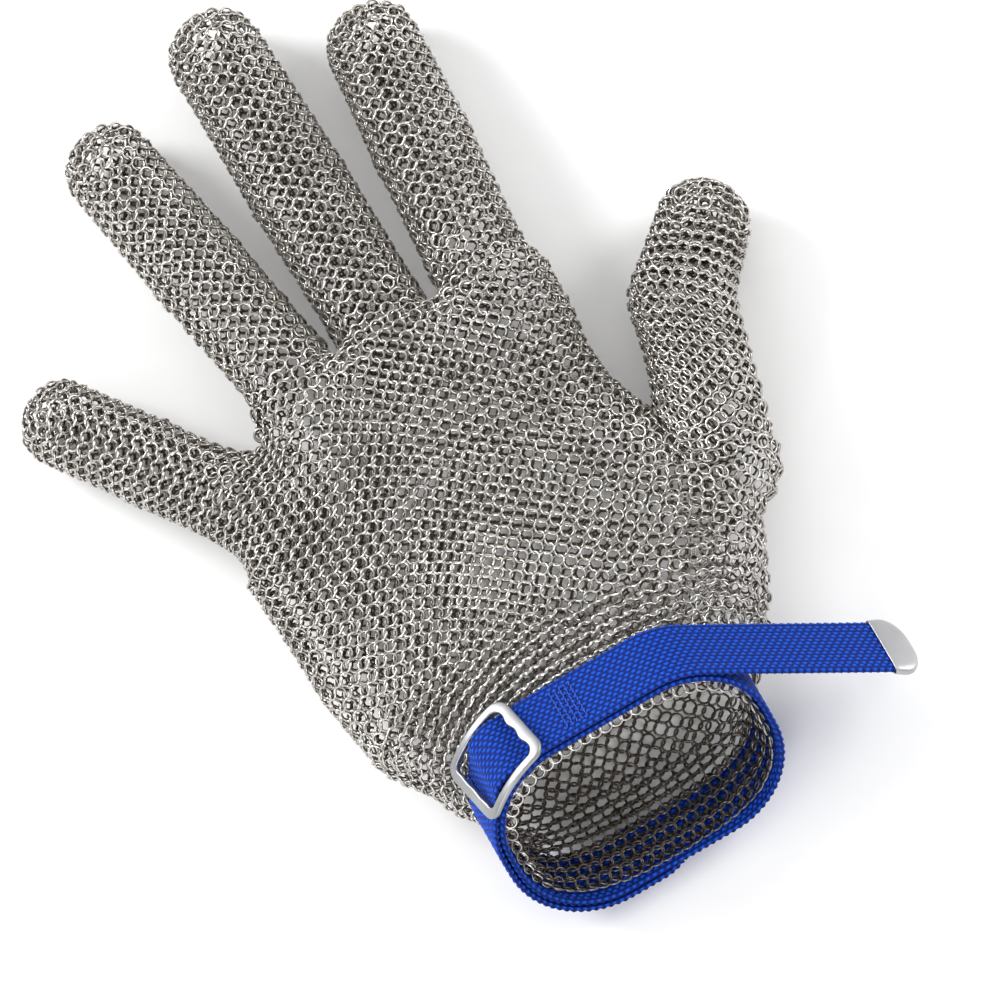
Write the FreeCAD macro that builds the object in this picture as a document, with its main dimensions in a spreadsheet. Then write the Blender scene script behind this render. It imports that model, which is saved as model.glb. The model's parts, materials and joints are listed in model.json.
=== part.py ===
import FreeCAD, Part
import math
import os
import Sketcher

# Ring-mesh cut resistant glove with a webbing wrist strap, lying palm down.
# +Z out of the back of the hand, +Y towards the middle fingertip, +X to the thumb.
# The origin is on the flat underside of the palm. Millimetres and degrees.

DIMENSIONS = [
    ("mesh_wall", 1.8),
    ("split_height", 16.5),
    ("heel_line", -36),
    # wrist loop: a rounded rectangle in a slanted plane, carried along the strap axis
    ("wrist_centre_x", -3),
    ("wrist_centre_y", -67.9),
    ("wrist_centre_z", 22.5),
    ("loop_slant", 40.7),
    ("axis_drop", 18),
    ("cuff_width", 67),
    ("cuff_height", 43.4),
    ("cuff_corner", 19.4),
    ("cuff_back", 6.5),
    ("cuff_front", 11.5),
    ("webbing_width", 16),
    ("webbing_thickness", 1.5),
    ("layer_gap", 0.3),
    # palm sections, each a rounded rectangle standing across the hand
    ("heel_y", -36), ("heel_x", -3), ("heel_width", 104), ("heel_height", 39.5), ("heel_corner", 18),
    ("thenar_y", -16), ("thenar_x", 1.5), ("thenar_width", 120), ("thenar_height", 37.5),
    ("thenar_corner", 16),
    ("web_y", 4), ("web_x", -7), ("web_width", 104), ("web_height", 35), ("web_corner", 15.5),
    ("palm_y", 18), ("palm_x", -10), ("palm_width", 99), ("palm_height", 33.5), ("palm_corner", 15),
    ("knuckle_y", 36), ("knuckle_x", -2.2), ("knuckle_width", 81.6), ("knuckle_height", 31.5),
    ("knuckle_corner", 14),
    ("root_y", 50), ("root_x", 0), ("root_width", 77), ("root_height", 28.5), ("root_corner", 13),
    ("sole_sink", 0.5),
    ("root_lift", 3),
    # fingers: knuckle centre, tip centre, radii, distance from knuckle to middle joint
    ("finger_knuckle_z", 16.5),
    ("index_knuckle_x", 26.2), ("index_knuckle_y", 62), ("index_tip_x", 30.3), ("index_tip_y", 119.7),
    ("index_radius", 12.1), ("index_tip_radius", 11.2), ("index_reach", 31),
    ("middle_knuckle_x", -1.3), ("middle_knuckle_y", 62), ("middle_tip_x", -3.4), ("middle_tip_y", 137.6),
    ("middle_radius", 12.2), ("middle_tip_radius", 11.4), ("middle_reach", 36),
    ("ring_knuckle_x", -27), ("ring_knuckle_y", 61), ("ring_tip_x", -38.9), ("ring_tip_y", 126.2),
    ("ring_radius", 11.7), ("ring_tip_radius", 10.9), ("ring_reach", 33),
    ("little_knuckle_x", -51.4), ("little_knuckle_y", 36.9), ("little_tip_x", -78.9), ("little_tip_y", 77.6),
    ("little_radius", 10.4), ("little_tip_radius", 10), ("little_reach", 25.5),
    ("knuckle_gap_ratio", 0.6),
    ("joint_gap_ratio", 0.785),
    # thumb: knuckle, middle joint and tip centre, bent outwards at the middle joint
    ("thumb_knuckle_x", 57), ("thumb_knuckle_y", 0.5), ("thumb_knuckle_z", 14.5),
    ("thumb_joint_x", 63.5), ("thumb_joint_y", 27.4), ("thumb_joint_z", 13.4),
    ("thumb_tip_x", 75.5), ("thumb_tip_y", 40), ("thumb_tip_z", 12.2),
    ("thumb_radius", 12.8), ("thumb_tip_radius", 12),
    ("thumb_root_radius", 9), ("thumb_root_length", 20),
    ("thumb_knuckle_gap", 4.5), ("thumb_joint_gap", 5.2),
    ("stub_length", 22),
    ("knuckle_clearance", 1.2),
    # buckle: a curved steel frame with a centre bar, on the little finger's side of the wrist
    ("buckle_angle", 121),
    ("turn_end_angle", 165),
    ("buckle_width", 20.4), ("buckle_length", 23.5), ("buckle_thickness", 1.8), ("buckle_radius", 24.6),
    ("buckle_bar", 3), ("buckle_rail", 2.1),
    ("centre_bar_radius", 1), ("centre_bar_height", 4.3),
    # webbing through the buckle, as heights over the cuff on both sides of the centre bar
    ("hump_foot", 12.65), ("hump_foot_drop", 0.83),
    ("hump_knee", 7.2), ("hump_knee_height", 1.96),
    ("hump_top", 2.2), ("hump_top_height", 6.35), ("hump_half_thickness", 0.85),
    # tail of the strap and its metal end
    ("tail_start", -9.8), ("tail_droop", 34.5), ("tail_straight", 50),
    ("tip_length", 8), ("tip_overlap", 3.5), ("tip_width", 17), ("tip_thickness", 2.7),
    ("tip_slot_width", 16.2), ("tip_slot_thickness", 1.8), ("tip_slot_depth", 5.6), ("tip_round", 4.5),
    # stitching
    ("stitch_radius", 0.3), ("stitch_length", 11), ("stitch_pitch", 1.3), ("stitch_start", 2.2),
]

FINGERS = ["index", "middle", "ring", "little"]
STITCH_ROWS = 5
WRIST_OVERLAP = 4
FAR = 200

document = FreeCAD.newDocument("cut_resistant_glove")
sheet = document.addObject("Spreadsheet::Sheet", "Dims")
nodes = []


def fill_sheet():
    for row, (alias, value) in enumerate(DIMENSIONS, start=1):
        cell = "B%d" % row
        sheet.set("A%d" % row, alias.replace("_", " "))
        sheet.set(cell, str(value))
        sheet.setAlias(cell, alias)
    document.recompute()


def size(alias):
    return float(sheet.get(alias))


def vector(x, y, z):
    return FreeCAD.Vector(x, y, z)


def unit(direction):
    result = vector(direction.x, direction.y, direction.z)
    result.normalize()
    return result


def frame_at(position, side, up):
    """Placement whose local X is side and local Z is up."""
    forward = up.cross(side)
    matrix = FreeCAD.Matrix(
        side.x, forward.x, up.x, position.x,
        side.y, forward.y, up.y, position.y,
        side.z, forward.z, up.z, position.z,
        0, 0, 0, 1,
    )
    return FreeCAD.Placement(matrix)


def facing(position, direction):
    """Placement whose local Z runs along direction."""
    return FreeCAD.Placement(position, FreeCAD.Rotation(vector(0, 0, 1), direction))


def keep(thing, label):
    thing.Label = label
    nodes.append(thing)
    return thing


def primitive(kind, name, **sizes):
    thing = document.addObject("Part::" + kind, name)
    for attribute, expression in sizes.items():
        thing.setExpression(attribute, expression)
    return thing


def cut(name, base, tool):
    result = document.addObject("Part::Cut", name)
    result.Base = base
    result.Tool = tool
    return result


def common(name, base, tool):
    result = document.addObject("Part::Common", name)
    result.Base = base
    result.Tool = tool
    return result


def fuse(name, shapes):
    result = document.addObject("Part::MultiFuse", name)
    result.Shapes = shapes
    return result


# ---------------------------------------------------------------- sketches


def add_rounded_rectangle(sketch, width, height, corner):
    """Rounded rectangle about the sketch's origin; each size is (value, expression)."""
    half_w = width[0] / 2
    half_h = height[0] / 2
    r = corner[0]
    first = len(sketch.Geometry)
    corners = [(half_w - r, half_h - r, 0), (r - half_w, half_h - r, 90)]
    corners += [(r - half_w, r - half_h, 180), (half_w - r, r - half_h, 270)]
    for x, y, start in corners:
        circle = Part.Circle(vector(x, y, 0), vector(0, 0, 1), r)
        arc = Part.ArcOfCircle(circle, math.radians(start), math.radians(start + 90))
        sketch.addGeometry(arc)
    for k in range(4):
        arc_end = sketch.Geometry[first + k].EndPoint
        next_start = sketch.Geometry[first + (k + 1) % 4].StartPoint
        sketch.addGeometry(Part.LineSegment(arc_end, next_start))
    for k in range(4):
        line = first + 4 + k
        sketch.addConstraint(Sketcher.Constraint("Tangent", first + k, 2, line, 1))
        sketch.addConstraint(Sketcher.Constraint("Tangent", line, 2, first + (k + 1) % 4, 1))
        direction = "Horizontal" if k % 2 == 0 else "Vertical"
        sketch.addConstraint(Sketcher.Constraint(direction, line))
    for k in range(1, 4):
        sketch.addConstraint(Sketcher.Constraint("Equal", first, first + k))
    bind(sketch, Sketcher.Constraint("Radius", first, r), corner[1])
    bind(sketch, Sketcher.Constraint("DistanceX", -1, 1, first, 1, half_w), width[1] + " / 2")
    bind(sketch, Sketcher.Constraint("DistanceY", -1, 1, first, 2, half_h), height[1] + " / 2")
    bind(sketch, Sketcher.Constraint("DistanceX", first + 1, 2, -1, 1, half_w), width[1] + " / 2")
    bind(sketch, Sketcher.Constraint("DistanceY", first + 3, 1, -1, 1, half_h), height[1] + " / 2")


def bind(sketch, constraint, expression):
    index = sketch.addConstraint(constraint)
    sketch.setExpression("Constraints[%d]" % index, expression)


def polygon(sketch, corners):
    """Closed outline; each corner is (x value, x expression, y value, y expression)."""
    count = len(corners)
    for k in range(count):
        here = corners[k]
        after = corners[(k + 1) % count]
        start = vector(here[0], here[2], 0)
        sketch.addGeometry(Part.LineSegment(start, vector(after[0], after[2], 0)))
    for k in range(count):
        sketch.addConstraint(Sketcher.Constraint("Coincident", k, 2, (k + 1) % count, 1))
    for k, (x, x_expression, y, y_expression) in enumerate(corners):
        bind(sketch, Sketcher.Constraint("DistanceX", -1, 1, k, 1, x), x_expression)
        bind(sketch, Sketcher.Constraint("DistanceY", -1, 1, k, 1, y), y_expression)


# ---------------------------------------------------------------- hand shell


def strap_axis():
    """Along the strap's width, from the elbow's side to the fingers' side."""
    drop = math.radians(size("axis_drop"))
    return vector(0, math.cos(drop), -math.sin(drop))


def wrist_centre():
    return vector(size("wrist_centre_x"), size("wrist_centre_y"), size("wrist_centre_z"))


def wrist_plane(along):
    """The slanted plane of the wrist loop, moved along the strap axis."""
    tilt = FreeCAD.Rotation(vector(1, 0, 0), 90 - size("loop_slant"))
    return FreeCAD.Placement(wrist_centre() + strap_axis() * along, tilt)


def wrist_section(name, along, inset):
    sketch = document.addObject("Sketcher::SketchObject", name)
    sketch.Placement = wrist_plane(along)
    shrink = inset * size("mesh_wall")
    taken = " - %d * Dims.mesh_wall" % inset
    add_rounded_rectangle(
        sketch,
        (size("cuff_width") - 2 * shrink, "(Dims.cuff_width%s * 2)" % taken),
        (size("cuff_height") - 2 * shrink, "(Dims.cuff_height%s * 2)" % taken),
        (size("cuff_corner") - shrink, "Dims.cuff_corner" + taken),
    )
    return sketch


def palm_section(name, station, inset, lift):
    """Section across the hand; inset is 1 for the inner face and 0 for the outer."""
    shrink = inset * size("mesh_wall")
    taken = " - %d * Dims.mesh_wall" % inset
    foot = size(lift) if lift == "root_lift" else -size(lift)
    height = size(station + "_height")
    sketch = document.addObject("Sketcher::SketchObject", name)
    y = size(station + "_y")
    if station == "root":
        y -= shrink
    base = vector(size(station + "_x"), y, foot + height / 2)
    sketch.Placement = FreeCAD.Placement(base, FreeCAD.Rotation(vector(1, 0, 0), 90))
    add_rounded_rectangle(
        sketch,
        (size(station + "_width") - 2 * shrink, "(Dims.%s_width%s * 2)" % (station, taken)),
        (height - 2 * shrink, "(Dims.%s_height%s * 2)" % (station, taken)),
        (size(station + "_corner") - shrink, "Dims.%s_corner%s" % (station, taken)),
    )
    return sketch


def hand_loft(name, inset):
    back = size("cuff_back") + inset * WRIST_OVERLAP
    sections = [
        wrist_section(name + "_wrist", -back, inset),
        wrist_section(name + "_cuff", size("cuff_front"), inset),
    ]
    for station in ["heel", "thenar", "web", "palm", "knuckle"]:
        sections.append(palm_section(name + "_" + station, station, inset, "sole_sink"))
    sections.append(palm_section(name + "_root", "root", inset, "root_lift"))
    loft = document.addObject("Part::Loft", name)
    loft.Sections = sections
    loft.Solid = True
    loft.Ruled = True
    return loft


def finger_points(digit):
    """Knuckle, middle joint and tip centre of a digit."""
    if digit == "thumb":
        return [
            vector(size("thumb_%s_x" % p), size("thumb_%s_y" % p), size("thumb_%s_z" % p))
            for p in ["knuckle", "joint", "tip"]
        ]
    knuckle_x = size(digit + "_knuckle_x")
    knuckle = vector(knuckle_x, size(digit + "_knuckle_y"), size("finger_knuckle_z"))
    tip_height = size(digit + "_tip_radius")
    tip = vector(size(digit + "_tip_x"), size(digit + "_tip_y"), tip_height)
    joint = knuckle + unit(tip - knuckle) * size(digit + "_reach")
    return [knuckle, joint, tip]


def finger_gaps(digit):
    """Half lengths of the bending zones at the knuckle and at the middle joint, as expressions."""
    if digit == "thumb":
        return "Dims.thumb_knuckle_gap", "Dims.thumb_joint_gap"
    radius = "Dims.%s_radius * Dims." % digit
    return radius + "knuckle_gap_ratio", radius + "joint_gap_ratio"


def gap_sizes(digit):
    if digit == "thumb":
        return size("thumb_knuckle_gap"), size("thumb_joint_gap")
    radius = size(digit + "_radius")
    return radius * size("knuckle_gap_ratio"), radius * size("joint_gap_ratio")


def finger_stub(digit, inset):
    """Where a digit leaves the palm: a tube that ends half a gap short of the knuckle."""
    knuckle, joint, _ = finger_points(digit)
    back = unit(knuckle - joint)
    overrun = 2 * inset
    near = gap_sizes(digit)[0] - overrun
    name = "%s_stub_%d" % (digit, inset)
    outer = "Dims.%s_radius - %d * Dims.mesh_wall" % (digit, inset)
    if digit == "thumb":
        inner = "Dims.thumb_root_radius - %d * Dims.mesh_wall" % inset
        long = "Dims.thumb_root_length + %d" % overrun
        stub = primitive("Cone", name, Radius1=outer, Radius2=inner, Height=long)
    else:
        long = "Dims.stub_length + %d" % (2 * overrun)
        stub = primitive("Cylinder", name, Radius=outer, Height=long)
    stub.Placement = facing(knuckle + back * near, back)
    return stub


def knuckle_room(digit):
    """Room that a digit's base tube swings through, beyond the end of its stub."""
    knuckle, joint, _ = finger_points(digit)
    along = unit(joint - knuckle)
    gap, radius = gap_sizes(digit)[0], size(digit + "_radius")
    room = document.addObject("Part::Cylinder", digit + "_room")
    room.Radius = math.hypot(gap, radius) + size("knuckle_clearance")
    room.Height = (joint - knuckle).Length
    room.Placement = facing(knuckle - along * gap, along)
    return room


def slab(name, low, high):
    """Plain box between two corners, used to divide or trim."""
    box = document.addObject("Part::Box", name)
    box.Length = high[0] - low[0]
    box.Width = high[1] - low[1]
    box.Height = high[2] - low[2]
    box.Placement.Base = vector(*low)
    return box


def build_hand():
    digits = FINGERS + ["thumb"]
    outer = fuse("hand_outer", [hand_loft("outer", 0)] + [finger_stub(d, 0) for d in digits])
    inner = fuse("hand_inner", [hand_loft("inner", 1)] + [finger_stub(d, 1) for d in digits])
    rooms = fuse("knuckle_rooms", [knuckle_room(d) for d in ["little", "thumb"]])
    shell = cut("hand_shell", outer, fuse("hand_hollow", [inner, rooms]))
    heel = size("heel_line")
    split = size("split_height")
    cuff_room = slab("cuff_room", (-FAR, -FAR, 0), (FAR, heel, FAR))
    back_room = slab("back_room", (-FAR, heel, split), (FAR, FAR, FAR))
    palm_room = slab("palm_room", (-FAR, heel, 0), (FAR, FAR, split))
    keep(common("cuff", shell, cuff_room), "cuff_mesh")
    keep(common("back", shell, back_room), "back_panel")
    keep(common("palm", shell, palm_room), "palm_panel")


# ---------------------------------------------------------------- digits


def tube(name, root_radius, end_radius, length):
    """Open tapered tube of mesh, local Z along the digit."""
    wall = " - Dims.mesh_wall"
    outer = primitive("Cone", name + "_outer", Radius1=root_radius, Radius2=end_radius, Height=length)
    inner = primitive(
        "Cone", name + "_inner", Radius1=root_radius + wall, Radius2=end_radius + wall, Height=length
    )
    return cut(name, outer, inner)


def capped_tube(name, root_radius, end_radius, length):
    """Tapered tube with a domed closed end."""
    faces = []
    for face, taken in [("outer", ""), ("inner", " - Dims.mesh_wall")]:
        label = "%s_%s" % (name, face)
        body = primitive(
            "Cone", label, Radius1=root_radius + taken, Radius2=end_radius + taken, Height=length
        )
        dome = primitive("Sphere", label + "_dome", Radius=end_radius + taken)
        dome.setExpression("Placement.Base.z", length)
        faces.append(fuse(label + "_all", [body, dome]))
    return cut(name, faces[0], faces[1])


def build_digit(digit):
    knuckle, joint, tip = finger_points(digit)
    first_gap, second_gap = gap_sizes(digit)
    first_text, second_text = finger_gaps(digit)
    along_base = unit(joint - knuckle)
    along_tip = unit(tip - joint)
    radius = "Dims.%s_radius" % digit
    tip_radius = "Dims.%s_tip_radius" % digit
    base_length = (joint - knuckle).Length
    tip_length = (tip - joint).Length

    sleeve = tube(digit + "_knuckle", radius, radius, "2 * " + first_text)
    sleeve.Placement = facing(knuckle - along_base * first_gap, along_base)
    keep(sleeve, digit + "_knuckle_sleeve")

    base = tube(digit + "_base", radius, radius, "%f - %s - %s" % (base_length, first_text, second_text))
    base.Placement = facing(knuckle + along_base * first_gap, along_base)
    keep(base, digit + "_base_tube")

    if digit == "thumb":
        keep(elbow(digit, joint, along_base, along_tip, second_gap), "thumb_joint_sleeve")
    else:
        bend = tube(digit + "_joint", radius, radius, "2 * " + second_text)
        bend.Placement = facing(joint - along_base * second_gap, along_base)
        keep(bend, digit + "_joint_sleeve")

    end = capped_tube(digit + "_tip", radius, tip_radius, "%f - %s" % (tip_length, second_text))
    end.Placement = facing(joint + along_tip * second_gap, along_tip)
    keep(end, digit + "_tip_tube")


def elbow(digit, joint, before, after, gap):
    """Bent sleeve between two directions: part of a hollow torus."""
    turn = math.degrees(before.getAngle(after))
    bend_radius = gap / math.tan(math.radians(turn) / 2)
    normal = unit(before.cross(after))
    inward = normal.cross(before)
    centre = joint - before * gap + inward * bend_radius
    rings = []
    for face, taken in [("outer", ""), ("inner", " - Dims.mesh_wall")]:
        ring = primitive("Torus", "%s_elbow_%s" % (digit, face))
        ring.setExpression("Radius2", "Dims.%s_radius%s" % (digit, taken))
        ring.Radius1 = bend_radius
        ring.Angle3 = turn
        rings.append(ring)
    sleeve = cut(digit + "_elbow", rings[0], rings[1])
    sleeve.Placement = frame_at(centre, inward * -1, normal)
    return sleeve


# ---------------------------------------------------------------- strap


def loop_band(name, layer):
    """Closed webbing loop; layer 0 lies on the cuff and layer 1 on layer 0."""
    inside = layer_face(layer)
    inside_text = "%d * (Dims.layer_gap + Dims.webbing_thickness) + Dims.layer_gap" % layer
    sketch = document.addObject("Sketcher::SketchObject", name + "_section")
    sketch.Placement = wrist_plane(-size("webbing_width") / 2)
    for offset, text in [(inside, ""), (inside + size("webbing_thickness"), " + Dims.webbing_thickness")]:
        grown = "(%s%s)" % (inside_text, text)
        add_rounded_rectangle(
            sketch,
            (size("cuff_width") + 2 * offset, "(Dims.cuff_width + 2 * %s)" % grown),
            (size("cuff_height") + 2 * offset, "(Dims.cuff_height + 2 * %s)" % grown),
            (size("cuff_corner") + offset, "Dims.cuff_corner + %s" % grown),
        )
    band = document.addObject("Part::Extrusion", name)
    band.Base = sketch
    band.DirMode = "Custom"
    band.Dir = strap_axis()
    band.setExpression("LengthFwd", "Dims.webbing_width")
    band.Solid = True
    return band


def layer_face(layer):
    """Inner face of a webbing layer, as a distance from the cuff."""
    return size("layer_gap") + layer * (size("webbing_thickness") + size("layer_gap"))


def loop_rise():
    slant = math.radians(size("loop_slant"))
    return vector(0, math.sin(slant), math.cos(slant))


def in_loop(across, up):
    """Point in the loop's plane, from its centre."""
    return wrist_centre() + vector(across, 0, 0) + loop_rise() * up


def corner_centre():
    """Centre of the cuff's upper rounded corner on the thumb's side, in the loop's plane."""
    across = size("cuff_width") / 2 - size("cuff_corner")
    return across, size("cuff_height") / 2 - size("cuff_corner")


def over_corner(angle, radius):
    """Point over the rounded corner on the little finger's side."""
    across, up = corner_centre()
    turned = math.radians(angle)
    return in_loop(radius * math.cos(turned) - across, up + radius * math.sin(turned))


def build_loops():
    keep(loop_band("band", 0), "strap_band")
    outer = loop_band("outer_loop", 1)
    top = over_corner(size("turn_end_angle"), size("cuff_corner")).z
    middle = wrist_centre().x
    keep(common("outer_turn", outer, slab("turn_room", (-FAR, -FAR, -FAR), (middle, FAR, top))),
         "strap_outer_turn")


def tail_path(offset):
    """Outline points of the tail's face at an offset from its middle, in the loop's plane."""
    across, up = corner_centre()
    radius = size("cuff_corner") + layer_face(1) + size("webbing_thickness") / 2 + offset
    droop = math.radians(size("tail_droop"))
    start = in_loop(size("tail_start"), up + radius)
    top = in_loop(across, up + radius)
    half = in_loop(across + radius * math.sin(droop / 2), up + radius * math.cos(droop / 2))
    leave = in_loop(across + radius * math.sin(droop), up + radius * math.cos(droop))
    end = leave + tail_direction() * size("tail_straight")
    return start, top, half, leave, end


def tail_direction():
    droop = math.radians(size("tail_droop"))
    return vector(math.cos(droop), 0, 0) - loop_rise() * math.sin(droop)


def build_tail():
    half = size("webbing_thickness") / 2
    edges = []
    ends = []
    for offset in [half, -half]:
        start, top, middle, leave, end = tail_path(offset)
        edges.append(Part.LineSegment(start, top).toShape())
        edges.append(Part.Arc(top, middle, leave).toShape())
        edges.append(Part.LineSegment(leave, end).toShape())
        ends.append((start, end))
    edges.append(Part.LineSegment(ends[0][0], ends[1][0]).toShape())
    edges.append(Part.LineSegment(ends[0][1], ends[1][1]).toShape())
    outline = Part.Wire(Part.__sortEdges__(edges))
    solid = Part.Face(outline).extrude(strap_axis() * size("webbing_width"))
    tail = document.addObject("Part::Feature", "tail")
    tail.Shape = solid
    tail.Placement = FreeCAD.Placement(strap_axis() * (-size("webbing_width") / 2), FreeCAD.Rotation())
    keep(tail, "strap_tail")


def build_strap_tip():
    """Folded metal cap over the tail's end: a rounded plate with a slot for the webbing."""
    along = tail_direction()
    outward = unit(along.cross(strap_axis()))
    end = tail_path(0)[4]
    cap = primitive("Box", "tip_plate", Length="Dims.tip_length", Width="Dims.tip_width",
                    Height="Dims.tip_thickness")
    cap.Placement.Base = vector(0, -size("tip_width") / 2, -size("tip_thickness") / 2)
    document.recompute()
    far_x = cap.Shape.BoundBox.XMax
    upright = [
        k for k, edge in enumerate(cap.Shape.Edges, start=1)
        if abs(edge.BoundBox.XMin - far_x) < 0.01 and edge.BoundBox.ZLength > 1
    ]
    rounded = document.addObject("Part::Fillet", "tip_rounded")
    rounded.Base = cap
    rounded.Edges = [(k, size("tip_round"), size("tip_round")) for k in upright]
    slot = primitive("Box", "tip_slot", Length="Dims.tip_slot_depth",
                     Width="Dims.tip_slot_width", Height="Dims.tip_slot_thickness")
    slot.Placement.Base = vector(0, -size("tip_slot_width") / 2, -size("tip_slot_thickness") / 2)
    tip = cut("tip", rounded, slot)
    tip.Placement = frame_at(end - along * size("tip_overlap"), along, outward)
    keep(tip, "strap_tip")


def build_stitching():
    """Rows of thread across the tail beside the buckle."""
    rows = []
    for k in range(STITCH_ROWS):
        row = primitive("Cylinder", "stitch_%d" % k, Radius="Dims.stitch_radius", Height="Dims.stitch_length")
        along = size("stitch_start") + k * size("stitch_pitch")
        lift = size("webbing_thickness") / 2 + size("stitch_radius") + 0.02
        start = tail_path(lift)[0] + vector(along, 0, 0)
        row.Placement = facing(start - strap_axis() * (size("stitch_length") / 2), strap_axis())
        rows.append(row)
    group = document.addObject("Part::Compound", "stitches")
    group.Links = rows
    keep(group, "tail_stitching")


# ---------------------------------------------------------------- buckle


def buckle_placement():
    """Local X along the strap towards the thumb, local Z outwards, origin on the cuff."""
    angle = size("buckle_angle")
    radius = size("cuff_corner")
    along = unit(over_corner(angle - 1, radius) - over_corner(angle + 1, radius))
    outward = unit(along.cross(strap_axis()))
    return frame_at(over_corner(angle, radius), along, outward)


def build_buckle():
    placement = buckle_placement()
    half_width = size("buckle_width") / 2
    half_length = size("buckle_length") / 2
    across = FreeCAD.Rotation(vector(1, 0, 0), 90)
    bend_axis = FreeCAD.Placement(vector(0, half_width, -size("cuff_corner")), across)
    plates = []
    for face, text in [("outer", " + Dims.buckle_thickness"), ("inner", "")]:
        plate = primitive(
            "Cylinder", "buckle_" + face, Radius="Dims.buckle_radius" + text, Height="Dims.buckle_width"
        )
        plate.Placement = bend_axis
        plates.append(plate)
    outline = primitive("Box", "buckle_outline", Length="Dims.buckle_length", Width="Dims.buckle_width",
                        Height="Dims.buckle_length")
    outline.Placement.Base = vector(-half_length, -half_width, -size("hump_foot_drop"))
    window = primitive("Box", "buckle_window", Length="Dims.buckle_length - 2 * Dims.buckle_bar",
                       Width="Dims.buckle_width - 2 * Dims.buckle_rail", Height="Dims.buckle_length")
    window.Placement.Base = vector(
        size("buckle_bar") - half_length, size("buckle_rail") - half_width, -size("hump_foot_drop")
    )
    curved = cut("buckle_curved", plates[0], plates[1])
    frame = cut("buckle", common("buckle_trimmed", curved, outline), window)
    frame.Placement = placement
    keep(frame, "buckle_frame")

    bar = primitive("Cylinder", "centre_bar", Radius="Dims.centre_bar_radius", Height="Dims.buckle_width")
    bar.Placement = placement.multiply(
        FreeCAD.Placement(vector(0, half_width, size("centre_bar_height")), across)
    )
    keep(bar, "buckle_centre_bar")


def build_buckle_webbing():
    """Webbing that comes up under one end bar, over the centre bar and down under the other."""
    placement = buckle_placement()
    sketch = document.addObject("Sketcher::SketchObject", "hump_outline")
    upright = FreeCAD.Placement(vector(0, 0, 0), FreeCAD.Rotation(vector(1, 0, 0), 90))
    sketch.Placement = placement.multiply(upright)
    sketch.Placement.Base = sketch.Placement.Base - strap_axis() * (size("webbing_width") / 2)
    knots = [("foot", "-", "foot_drop"), ("knee", "", "knee_height"), ("top", "", "top_height")]
    half = size("hump_half_thickness")
    upper = []
    lower = []
    for knot, sign, level in knots:
        x = size("hump_" + knot)
        z = size("hump_" + level) * (-1 if sign else 1)
        level_text = "%sDims.hump_%s" % (sign, level)
        upper.append((x, "Dims.hump_" + knot, z + half, level_text + " + Dims.hump_half_thickness"))
        lower.append((x, "Dims.hump_" + knot, z - half, level_text + " - Dims.hump_half_thickness"))
    outline = mirrored(upper) + upper[::-1] + lower + mirrored(lower)[::-1]
    polygon(sketch, outline)
    hump = document.addObject("Part::Extrusion", "hump")
    hump.Base = sketch
    hump.DirMode = "Custom"
    hump.Dir = strap_axis()
    hump.setExpression("LengthFwd", "Dims.webbing_width")
    hump.Solid = True
    keep(hump, "buckle_webbing")


def mirrored(corners):
    return [(-x, "-" + x_text, z, z_text) for x, x_text, z, z_text in corners]


def check_document():
    for thing in document.Objects:
        bad = [state for state in thing.State if state in ("Invalid", "Error")]
        if bad:
            raise RuntimeError("%s is %s" % (thing.Name, bad))
    for thing in nodes:
        if thing.Shape.isNull() or not thing.Shape.isValid():
            raise RuntimeError(thing.Label + " has no valid shape")


def write_parts():
    os.makedirs("parts", exist_ok=True)
    for thing in nodes:
        thing.Shape.exportStep("parts/%s.step" % thing.Label)
        print("%-22s %9.1f mm3" % (thing.Label, thing.Shape.Volume))


fill_sheet()
build_hand()
for digit_name in FINGERS + ["thumb"]:
    build_digit(digit_name)
build_loops()
build_tail()
build_strap_tip()
build_stitching()
build_buckle()
build_buckle_webbing()
document.recompute()
check_document()
write_parts()
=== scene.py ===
import json
import math

import bpy
import numpy as np
from mathutils import Matrix


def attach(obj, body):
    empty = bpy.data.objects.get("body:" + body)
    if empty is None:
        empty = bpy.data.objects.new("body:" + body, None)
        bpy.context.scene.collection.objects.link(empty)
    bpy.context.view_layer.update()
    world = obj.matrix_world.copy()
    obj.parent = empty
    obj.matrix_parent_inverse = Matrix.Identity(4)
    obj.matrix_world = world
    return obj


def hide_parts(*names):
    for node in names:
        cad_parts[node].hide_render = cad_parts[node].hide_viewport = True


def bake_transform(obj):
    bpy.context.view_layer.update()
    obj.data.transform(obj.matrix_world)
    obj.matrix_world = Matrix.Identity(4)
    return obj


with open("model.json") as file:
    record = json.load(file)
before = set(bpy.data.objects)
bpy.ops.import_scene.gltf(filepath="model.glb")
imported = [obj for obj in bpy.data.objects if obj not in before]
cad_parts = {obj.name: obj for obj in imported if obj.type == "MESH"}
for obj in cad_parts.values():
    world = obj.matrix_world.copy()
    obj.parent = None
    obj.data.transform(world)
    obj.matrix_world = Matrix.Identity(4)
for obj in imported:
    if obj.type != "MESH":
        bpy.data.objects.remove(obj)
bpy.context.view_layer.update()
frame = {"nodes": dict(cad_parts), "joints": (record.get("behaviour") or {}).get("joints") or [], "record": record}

# Ring-mesh cut resistant glove. Lengths here are in millimetres until a mesh is made.
# The net of rings is a quadrilateral net relaxed over the glove's shape: one ring hangs on each
# of its points, leaning one way, and one on each of its faces, leaning the other way.

MM = 0.001
RANDOM = np.random.default_rng(11)
DIGITS = ["little", "ring", "middle", "index", "thumb"]
FINGERS = DIGITS[:4]

# -------- the frame's own places


def named(rows, name):
    """The joint or mount that has this name."""
    return next(row for row in rows if row["name"] == name)


def joint_place(name):
    return np.array(named(frame["joints"], name)["pos_m"]) / MM


def node_points(node):
    """A CAD node's points in millimetres."""
    mesh = frame["nodes"][node].data
    flat = np.empty(len(mesh.vertices) * 3)
    mesh.vertices.foreach_get("co", flat)
    return flat.reshape(-1, 3) / MM


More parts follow.
